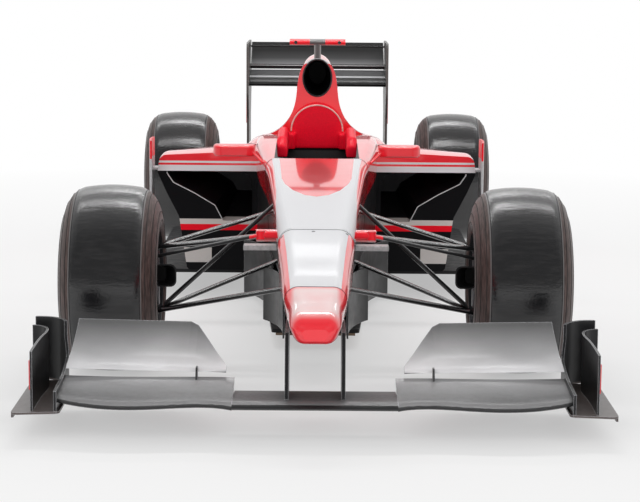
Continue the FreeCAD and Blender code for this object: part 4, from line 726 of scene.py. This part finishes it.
def spaced(line, spacing):
    """Places at even spacing along a line of points, from half a spacing on."""
    travelled = 0.0
    wanted = spacing / 2
    places = []
    for first, second in zip(line, line[1:]):
        length = (second - first).length
        while length and travelled + length >= wanted:
            places.append(first.lerp(second, (wanted - travelled) / length))
            wanted += spacing
        travelled += length
    return places


# Panel seams as (node, distance, spacing of the fasteners, their shift along the car, places that are kept)
SEAMS = (
    ("nose_cone", -0.392, 0.115, -0.022, lambda p: True),
    ("nose_cone", -0.905, 0.0, 0.0, lambda p: p.z > 0.36),
    ("monocoque", 0.845, 0.0, 0.0, lambda p: abs(p.x) > 0.17 and p.z > 0.30),
    ("engine_cover", 2.10, 0.16, -0.024, lambda p: p.z > 0.52),
    ("engine_cover", 2.72, 0.16, -0.024, lambda p: p.z > 0.44),
    ("sidepod_left", 1.62, 0.13, 0.022, lambda p: p.z > 0.57),
    ("sidepod_right", 1.62, 0.13, 0.022, lambda p: p.z > 0.57),
    ("sidepod_left", 2.35, 0.13, 0.022, lambda p: p.z > 0.10 and abs(p.x) > 0.30),
    ("sidepod_right", 2.35, 0.13, 0.022, lambda p: p.z > 0.10 and abs(p.x) > 0.30),
)
SEAM_RADIUS = 0.0011
FASTENER_RADIUS, FASTENER_RISE = 0.0062, 0.0010


def make_seams():
    """Dark joints between the body panels, with quarter turn fasteners beside them."""
    lines = []
    work = bmesh.new()
    for node, distance, spacing, shift, keep in SEAMS:
        found = slices(node, distance, keep)
        lines += found
        for line in found if spacing else ():
            for place in spaced(line, spacing):
                target, away = skin(node).find_nearest(place + Vector((0, shift, 0)))[:2]
                stud(work, target, away, FASTENER_RADIUS, FASTENER_RISE)
    wires("panel_seams", lines, SEAM_RADIUS, SEAM, "chassis")
    piece("panel_fasteners", work, DARK_METAL, "chassis")


def at_mouth(p):
    """Whether a point is on the sloping outer edge of an inlet's mouth."""
    return 0.35 < p.z < 0.548 and 0.40 < abs(p.x) < 0.665 - (0.553 - p.z) * 0.9


def make_pod_edge_highlights():
    """A pale wire that runs down round each inlet's mouth, a painted highlight on its rounded edge."""
    for hand, side in SIDES:
        pod = "sidepod_" + hand
        # Painted highlight along the edge of the inlet's mouth
        wires(pod + "_edge", slices(pod, 1.4515, at_mouth), 0.0024, PALE_TRIM_AND_HIGHLIGHT, "chassis")


def make_radiators():
    """Upright fins on the cooler faces at the back of the inlets."""
    first_x, pitch, half = 0.29, 0.0045, 0.0006
    lowest, step, margin = 0.33, 0.0055, 0.004
    before, face, front, back = 1.30, 1.86, 1.862, 1.879
    for hand, side in SIDES:
        pod = "sidepod_" + hand
        work = bmesh.new()
        for column in range(80):
            x = side * (first_x + column * pitch)
            found = []
            for row in range(40):
                z = lowest + row * step
                met = hit(pod, behind(x, before, z), (0, 1, 0))
                if met and met[0].y - FRONT_AXLE > face:
                    found.append(z)
            if len(found) > 4:
                block(work, behind(x - half, front, min(found) + margin),
                      behind(x + half, back, max(found) - margin))
        piece(pod + "_fins", work, DARK_METAL, "chassis")


def make_tyre_rings(tyre, wheel, centre, half_tread):
    """Rings moulded in the rubber, at the shoulders and down both walls."""
    middle = (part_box(tyre)[0].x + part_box(tyre)[1].x) / 2
    marks = []
    for edge in (-half_tread, half_tread):
        met = hit(tyre, (middle + edge, centre.y, centre.z + 0.5), (0, 0, -1))
        marks.append((met[0].x, met[0].z - centre.z))
    for radius in (0.298, 0.272, 0.236, 0.206):
        for way in (-1, 1):
            met = hit(tyre, (middle - way * 0.4, centre.y, centre.z + radius), (way, 0, 0))
            if met:
                marks.append((met[0].x, radius))
    work = bmesh.new()
    for across, radius in marks:
        ring = [(across - centre.x + x, radius + y) for x, y in circle(6, 0.0015)]
        turned(work, centre, ring, steps=144)
    piece(wheel + "_tyre_rings", work, GRIP, wheel)


def make_brake(wheel, body, side, centre, start):
    """A ventilated carbon disc on its bell, and the caliper over it."""
    plates = ((0.655, 0.664), (0.674, 0.683))
    vanes, vane_half = 36, 0.0022
    work = bmesh.new()
    for inner, outer in plates:
        turned(work, centre, band(side, inner, outer, 0.078, 0.1215), steps=72)
    for vane in range(vanes):
        block(work, (side * plates[0][1], 0.080, -vane_half), (side * plates[1][0], 0.120, vane_half),
              about_hub(centre, vane / vanes))
    piece(wheel + "_brake_disc", work, DISC_CARBON, wheel)

    inner, flange, outer, bolts = 0.660, 0.678, 0.742, 12
    work = bmesh.new()
    turned(work, centre, [(side * inner, 0.066), (side * outer, 0.066), (side * outer, 0.070),
                          (side * flange, 0.072), (side * flange, 0.082), (side * inner, 0.082)], steps=72)
    for y, z in circle(bolts, 0.086):
        stud(work, centre + Vector((side * 0.684, y, z)), (side, 0, 0), radius=0.0045, height=0.003, sides=6)
    piece(wheel + "_disc_bell", work, RAW_METAL, wheel, bevel=0.0008)

    halves, bridge, bridge_gap = ((0.634, 0.649), (0.689, 0.706)), (0.640, 0.700), 0.12
    sweep, steps, pistons = math.radians(64), 24, 3
    work = bmesh.new()
    for inner, outer in halves:
        turned(work, centre, band(side, inner, outer, 0.090, 0.134), steps, start, sweep)
    turned(work, centre, band(side, *bridge, 0.1275, 0.1355), steps, start + bridge_gap, sweep - 2 * bridge_gap)
    for piston in range(pistons):
        middle = about(centre, side * 0.7062, 0.112, start + sweep * (piston + 0.5) / pistons)
        stud(work, middle, (side, 0, 0), radius=0.014, height=0.0035, sides=24)
    piece(wheel + "_caliper", work, DARK_METAL, body, bevel=0.0015)


def make_wheel_nut(wheel, side, centre):
    """The nut's drive lugs, its locking rings and the tyre valve."""
    lugs, lug_half = 12, 0.006
    work = bmesh.new()
    for lug in range(lugs):
        block(work, (side * 0.846, 0.034, -lug_half), (side * 0.868, 0.0405, lug_half),
              about_hub(centre, lug / lugs))
    for ring in ((0.8365, 0.842, 0.036, 0.051), (0.8775, 0.8835, 0.012, 0.025)):
        turned(work, centre, band(side, *ring), steps=48)
    piece(wheel + "_nut_lugs", work, BRIGHT_METAL, wheel, bevel=0.0008)
    work = bmesh.new()
    valve = centre + Vector((side * 0.852, 0.150, 0))
    stud(work, valve, (side, -0.35, 0), radius=0.0035, height=0.020, sides=12, top=0.8)
    piece(wheel + "_valve", work, BRIGHT_METAL, wheel)


def make_wheel_details():
    """Rings, brakes, nuts and valves of the four wheels; the calipers start at the given angles."""
    for end, axle, caliper in (("front", FRONT_AXLE, -32), ("rear", REAR_AXLE, 148)):
        for hand, side in SIDES:
            wheel = f"{end}_wheel_{hand}"
            hub = Vector((0, axle, TYRE_RADIUS))
            make_tyre_rings(f"{end}_tyre_{hand}", wheel, hub, TREAD_HALF[end])
            body = f"knuckle_{hand}" if end == "front" else "chassis"
            make_brake(wheel, body, side, hub, math.radians(caliper))
            make_wheel_nut(wheel, side, hub)


def make_knuckle_nuts():
    """Nuts over the ball joints of the front uprights."""
    joint, upper, lower = 0.578, 0.4578, 0.1942
    for hand, side in SIDES:
        work = bmesh.new()
        for z, way in ((upper, 1), (lower, -1)):
            stud(work, behind(side * joint, 0, z), (0, 0, way), radius=0.0125, height=0.0045, sides=6, top=0.9)
        piece(f"knuckle_{hand}_nuts", work, BRIGHT_METAL, f"knuckle_{hand}", bevel=0.0006)


def make_mirror_glass():
    """The mirrors' glasses, which face the driver."""
    for hand, side in SIDES:
        blocks("mirror_glass_" + hand, MIRROR, "chassis", 0.0008,
               [box_at(side, (0.264, 0.402), (1.0300, 1.0322), (0.6700, 0.7060))])


def make_intake_lip():
    """A black lip round the mouth of the air intake."""
    inset, ahead = 0.0013, 0.005
    line = [behind(x, DUCT_START - ahead, DUCT_HEIGHT + z)
            for x, z in circle(64, DUCT_HALF - inset, DUCT_RISE - inset)]
    wires("intake_lip", [line], 0.0036, GLOSS_CARBON, "chassis", closed=True)


def make_rear_wing_trim():
    """The flap's dark nose strip with a pale line that paints a highlight on it, the red panels and the louvres
    of the plates.
    """
    flap_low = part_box("rear_wing_flap")[0]
    main_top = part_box("rear_wing_main")[1].z
    half = 0.366
    blocks("flap_nose_strip", GLOSS_CARBON, "rear_flap", 0.0008,
           [((-half, flap_low.y + 0.001, main_top + 0.004), (half, flap_low.y + 0.004, flap_low.z + 0.008))])
    # Painted highlight: a pale strip along the flap's lower edge
    blocks("flap_nose_highlight", PALE_TRIM_AND_HIGHLIGHT, "rear_flap", 0.0006,
           [((-half, flap_low.y - 0.0015, flap_low.z - 0.001),
             (half, flap_low.y + 0.0015, flap_low.z + 0.003))])
    slots, first, pitch, height = 4, 3.50, 0.040, 0.962
    slant = Matrix.Rotation(math.radians(-28), 4, "X")
    for hand, side in SIDES:
        face = hit("rear_endplates", behind(side * 0.8, 3.62, 0.68), (-side, 0, 0))[0].x
        blocks("rear_plate_panel_" + hand, RED_PAINT, "chassis", 0.002,
               [(behind(face, 3.55, 0.585), behind(face + side * 0.005, 3.72, 0.75))])
        work = bmesh.new()
        for slot in range(slots):
            turn = Matrix.Translation(behind(0, first + slot * pitch, height)) @ slant
            block(work, (face, -0.004, -0.036), (face + side * 0.0014, 0.004, 0.036), turn)
        piece("rear_plate_louvres_" + hand, work, SEAM, "chassis", bevel=0.0004)


def make_front_wing_trim():
    """Red markers on the leading edges of the front endplates' outer vanes."""
    for hand, side in SIDES:
        face = hit("front_endplates", behind(side * 1.3, -1.035, 0.20), (-side, 0, 0))[0].x
        blocks("wing_marker_" + hand, RED_PAINT, "chassis", 0.0015,
               [(behind(face, -1.055, 0.160), behind(face + side * 0.006, -1.018, 0.250))])


def make_rack_fairings():
    """Flat pale fairings that stand out from the tub below the rack."""
    sunk, end = 0.004, 0.262
    for hand, side in SIDES:
        face = hit("monocoque", behind(side * 0.6, 0.125, 0.425), (-side, 0, 0))[0].x
        blocks("rack_fairing_" + hand, PALE_TRIM_AND_HIGHLIGHT, "chassis", 0.003,
               [(behind(face - side * sunk, 0.10, 0.415), behind(side * end, 0.15, 0.434))])


def make_camera_windows():
    """A round window in each front end of the camera pod."""
    work = bmesh.new()
    for side in (1, -1):
        met = hit("camera_pod", behind(side * 0.095, 1.40, 1.095), (0, 1, 0))
        stud(work, met[0], (0, -1, 0.1), radius=0.0075, height=0.0012, sides=24, top=0.9)
    piece("camera_windows", work, GLASS, "chassis")


def make_hand_wheel_details():
    """Display, buttons, rotary switches and shift paddles on the steering wheel, in the wheel's own plane."""
    axis = HAND_WHEEL_AXIS
    tilt = Matrix(((1, 0, 0, 0), (0, -axis.z, axis.y, 0), (0, axis.y, axis.z, 0), (0, 0, 0, 1)))
    turn = Matrix.Translation(HAND_WHEEL) @ tilt
    blocks("wheel_display", GLASS, "hand_wheel", 0.0025,
           [((-0.044, 0.004, 0.0118), (0.044, 0.046, 0.0165))], turn)
    work = bmesh.new()
    for side in (1, -1):
        for x, y in ((0.062, 0.036), (0.080, 0.018), (0.060, 0.008), (0.082, -0.010), (0.060, -0.022)):
            place = turn @ Vector((side * x, y, 0.0135))
            stud(work, place, axis, radius=0.0060, height=0.0028, sides=20, top=0.8)
    piece("wheel_buttons", work, RED_PAINT, "hand_wheel")
    work = bmesh.new()
    pointer_half = 0.0015
    for x in (-0.030, 0.0, 0.030):
        stud(work, turn @ Vector((x, -0.018, 0.0150)), axis, radius=0.0100, height=0.0050, sides=12, top=0.85)
        block(work, (x - pointer_half, -0.027, 0.0198), (x + pointer_half, -0.009, 0.0215), turn)
    piece("wheel_switches", work, BRIGHT_METAL, "hand_wheel", bevel=0.0004)
    corners = []
    stalk, stalk_half = 0.060, 0.006
    for side in (1, -1):
        corners.append(((side * 0.045, -0.020, -0.0260), (side * 0.110, 0.022, -0.0225)))
        corners.append(((side * stalk - stalk_half, -stalk_half, -0.0235),
                        (side * stalk + stalk_half, stalk_half, -0.0110)))
    blocks("wheel_paddles", GLOSS_CARBON, "hand_wheel", 0.0015, corners, turn)


def make_tailpipe_rings():
    """Raw steel sleeves in the mouths of the tailpipes."""
    inner, outer, front, back = 0.0350, 0.0384, 2.9575, 2.9625
    for hand, side in SIDES:
        work = bmesh.new()
        rows = []
        for distance, radius in ((front, outer), (back, outer), (back, inner), (front, inner)):
            rows.append([work.verts.new(behind(side * 0.205 + x, distance, 0.481 + z))
                         for x, z in circle(48, radius)])
        ring_faces(work, rows, True)
        piece("tailpipe_ring_" + hand, work, RAW_METAL, "chassis", bevel=0.0006)


def make_headrest():
    """The headrest's foam form with soft corners, in place of its plain solid, and a pale arc along its top
    edge that paints its highlight.
    """
    mesh = CAD["headrest"].data.copy()
    mesh.name = "headrest_pad"
    mesh.materials.clear()
    mesh.materials.append(PAD)
    pad = shown("headrest_pad", mesh)
    grain = pad.modifiers.new("grain", "REMESH")
    grain.mode = "VOXEL"
    grain.voxel_size = 0.004
    grain.use_smooth_shade = True
    ease = pad.modifiers.new("ease", "SMOOTH")
    ease.factor = 0.8
    ease.iterations = 10
    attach(pad, "chassis")
    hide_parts("headrest")
    face = hit("headrest", behind(0, 1.0, 0.80), (0, 1, 0))[0].y
    radius, height, steps = 0.112, 0.716, 48
    arc = []
    for step in range(steps + 1):
        angle = math.pi * step / steps
        arc.append(Vector((radius * math.cos(angle), face + 0.001, height + radius * math.sin(angle))))
    # Painted highlight: a pale arc along the headrest's rounded top edge
    wires("headrest_highlight_arc", [arc], 0.0036, HEADREST_HIGHLIGHT, "chassis")


STRAP_WIDTH = 0.045
STRAP_UNDER, STRAP_OVER = 0.002, 0.0045
STRAP_STEPS = 28
# Places on the seat below this height carry no strap
SEAT_LOW = 0.17


def make_strap(name, start, end):
    """A flat strap draped on the seat between two places given as (across, distance)."""
    half = STRAP_WIDTH / 2
    work = bmesh.new()
    rows = []
    run = (behind(*end, 0.0) - behind(*start, 0.0)).normalized()
    for step in range(STRAP_STEPS + 1):
        x, d = (start[i] + (end[i] - start[i]) * step / STRAP_STEPS for i in (0, 1))
        met = hit("seat", behind(x, d, 0.80), (0, 0, -1))
        if met is None or met[0].z < SEAT_LOW:
            continue
        place, away = met
        sideways = run.cross(away).normalized()
        rows.append([work.verts.new(place + sideways * across + away * lift)
                     for across, lift in ((-half, STRAP_UNDER), (half, STRAP_UNDER), (half, STRAP_OVER),
                                          (-half, STRAP_OVER))])
    ring_faces(work, rows, False)
    strap = piece(name, work, STRAP, "chassis")


def make_harness():
    """Two shoulder straps and two lap straps."""
    for hand, side in SIDES:
        make_strap("shoulder_strap_" + hand, (side * 0.075, 1.52), (side * 0.03, 1.25))
        make_strap("lap_strap_" + hand, (side * 0.125, 1.28), (side * 0.02, 1.16))


for make in (make_seams, make_pod_edge_highlights, make_radiators, make_wheel_details, make_knuckle_nuts,
             make_mirror_glass, make_intake_lip, make_rear_wing_trim, make_front_wing_trim,
             make_rack_fairings, make_camera_windows, make_hand_wheel_details, make_tailpipe_rings,
             make_headrest, make_harness):
    make()

# Camera, solved from the photograph's own perspective
FOCAL_SHARE = 1908.0 / 640.0
SENSOR = 36.0
CAMERA_AHEAD = 6.686
CAMERA_HEIGHT = 1.445
CAMERA_DOWN = math.radians(8.63)
CAMERA_TURN = math.radians(-0.12)
CAMERA_ROLL = math.radians(0.45)

camera_data = bpy.data.cameras.new("camera")
camera_data.sensor_width = SENSOR
camera_data.lens = SENSOR * FOCAL_SHARE
camera = shown("camera", camera_data)
camera.location = behind(0, -CAMERA_AHEAD, CAMERA_HEIGHT)
camera.rotation_euler = (Matrix.Rotation(CAMERA_TURN, 3, "Z")
                         @ Matrix.Rotation(math.pi / 2 - CAMERA_DOWN, 3, "X")
                         @ Matrix.Rotation(CAMERA_ROLL, 3, "Z")).to_euler()
bpy.context.scene.camera = camera

# Floor, world and lamps
FLOOR_SIZE = 80.0
FLOOR_COLOR = (0.88, 0.88, 0.88)
FADE_START, FADE_END = 2.2, 5.5
# Light on the object from all round and from the front, and what shiny surfaces see towards the front
ROUND_LIGHT = 0.33
FRONT_LIGHT = 0.72
FRONT_MIRRORED = 0.3
# Lamps as (name, place, target, width, height, watts, whether shiny surfaces show them), one on each side
LAMPS = (
    ("over_front", (1.17, 0.2, 4.4), (1.0, 0.2, 0), 0.38, 4.0, 42, True),
    ("over_rear", (1.0, 4.0, 4.4), (0.8, 4.0, 0), 0.38, 4.8, 48, True),
    ("front", (3.2, -7.0, 3.4), (0, -0.3, 0.6), 5.0, 3.0, 98, False),
)


def make_floor():
    """A pale floor that fades to plain white away from the object, so no horizon shows."""
    mesh = bpy.data.meshes.new("floor_plane")
    work = bmesh.new()
    bmesh.ops.create_grid(work, x_segments=8, y_segments=8, size=FLOOR_SIZE / 2)
    work.to_mesh(mesh)
    work.free()
    plane = shown("floor_plane", mesh)
    shader = Shader("studio_floor", FLOOR_COLOR, 0.9, Specular_IOR_Level=0.0)
    glow = shader.add("ShaderNodeEmission")
    glow.inputs["Color"].default_value = (1, 1, 1, 1)
    glow.inputs["Strength"].default_value = 1.0
    length = shader.add("ShaderNodeVectorMath", operation="LENGTH")
    shader.link(shader.place(), length.inputs[0])
    fade = shader.between(length.outputs["Value"], FADE_START, FADE_END, 0.45, 1.0)
    blend = shader.add("ShaderNodeMixShader")
    shader.link(shader.math("MULTIPLY", fade, shader.backdrop()), blend.inputs[0])
    shader.link(shader.bsdf.outputs[0], blend.inputs[1])
    shader.link(glow.outputs[0], blend.inputs[2])
    shader.link(blend.outputs[0], shader.tree.nodes["Material Output"].inputs["Surface"])
    mesh.materials.append(shader.material)


def make_world():
    """Soft light, more of it from the front, and a white backdrop that shows darker in mirrors there."""
    world = bpy.data.worlds.new("studio")
    bpy.context.scene.world = world
    world.use_nodes = True
    sky = Wiring(world.node_tree)
    split = sky.add("ShaderNodeSeparateXYZ")
    sky.link(sky.add("ShaderNodeTexCoord").outputs["Generated"], split.inputs[0])
    light = sky.between(split.outputs["Y"], -1.0, 0.2, FRONT_LIGHT, ROUND_LIGHT)
    seen = sky.between(split.outputs["Y"], -0.5, 0.5, FRONT_MIRRORED, 1.0)
    seen = sky.math("MAXIMUM", seen, sky.add("ShaderNodeLightPath").outputs["Is Camera Ray"])
    backdrop = sky.backdrop()
    strength = sky.math("ADD", sky.math("MULTIPLY", seen, backdrop), sky.without(light, backdrop))
    background = sky.tree.nodes["Background"]
    background.inputs["Color"].default_value = (1, 1, 1, 1)
    sky.link(strength, background.inputs["Strength"])


def softbox(name, place, target, width, height, power, mirrored):
    """A rectangular lamp that looks at its target."""
    lamp = bpy.data.lights.new(name, "AREA")
    lamp.shape = "RECTANGLE"
    lamp.size = width
    lamp.size_y = height
    lamp.energy = power
    holder = shown(name, lamp)
    holder.location = place
    holder.visible_glossy = mirrored
    holder.rotation_mode = "QUATERNION"
    holder.rotation_quaternion = (Vector(target) - Vector(place)).to_track_quat("-Z", "Y")


make_floor()
make_world()
for side in (-1, 1):
    for name, place, target, *settings in LAMPS:
        softbox(f"{name}_{side}", (side * place[0], *place[1:]), (side * target[0], *target[1:]), *settings)
bpy.context.scene.view_settings.view_transform = "Standard"
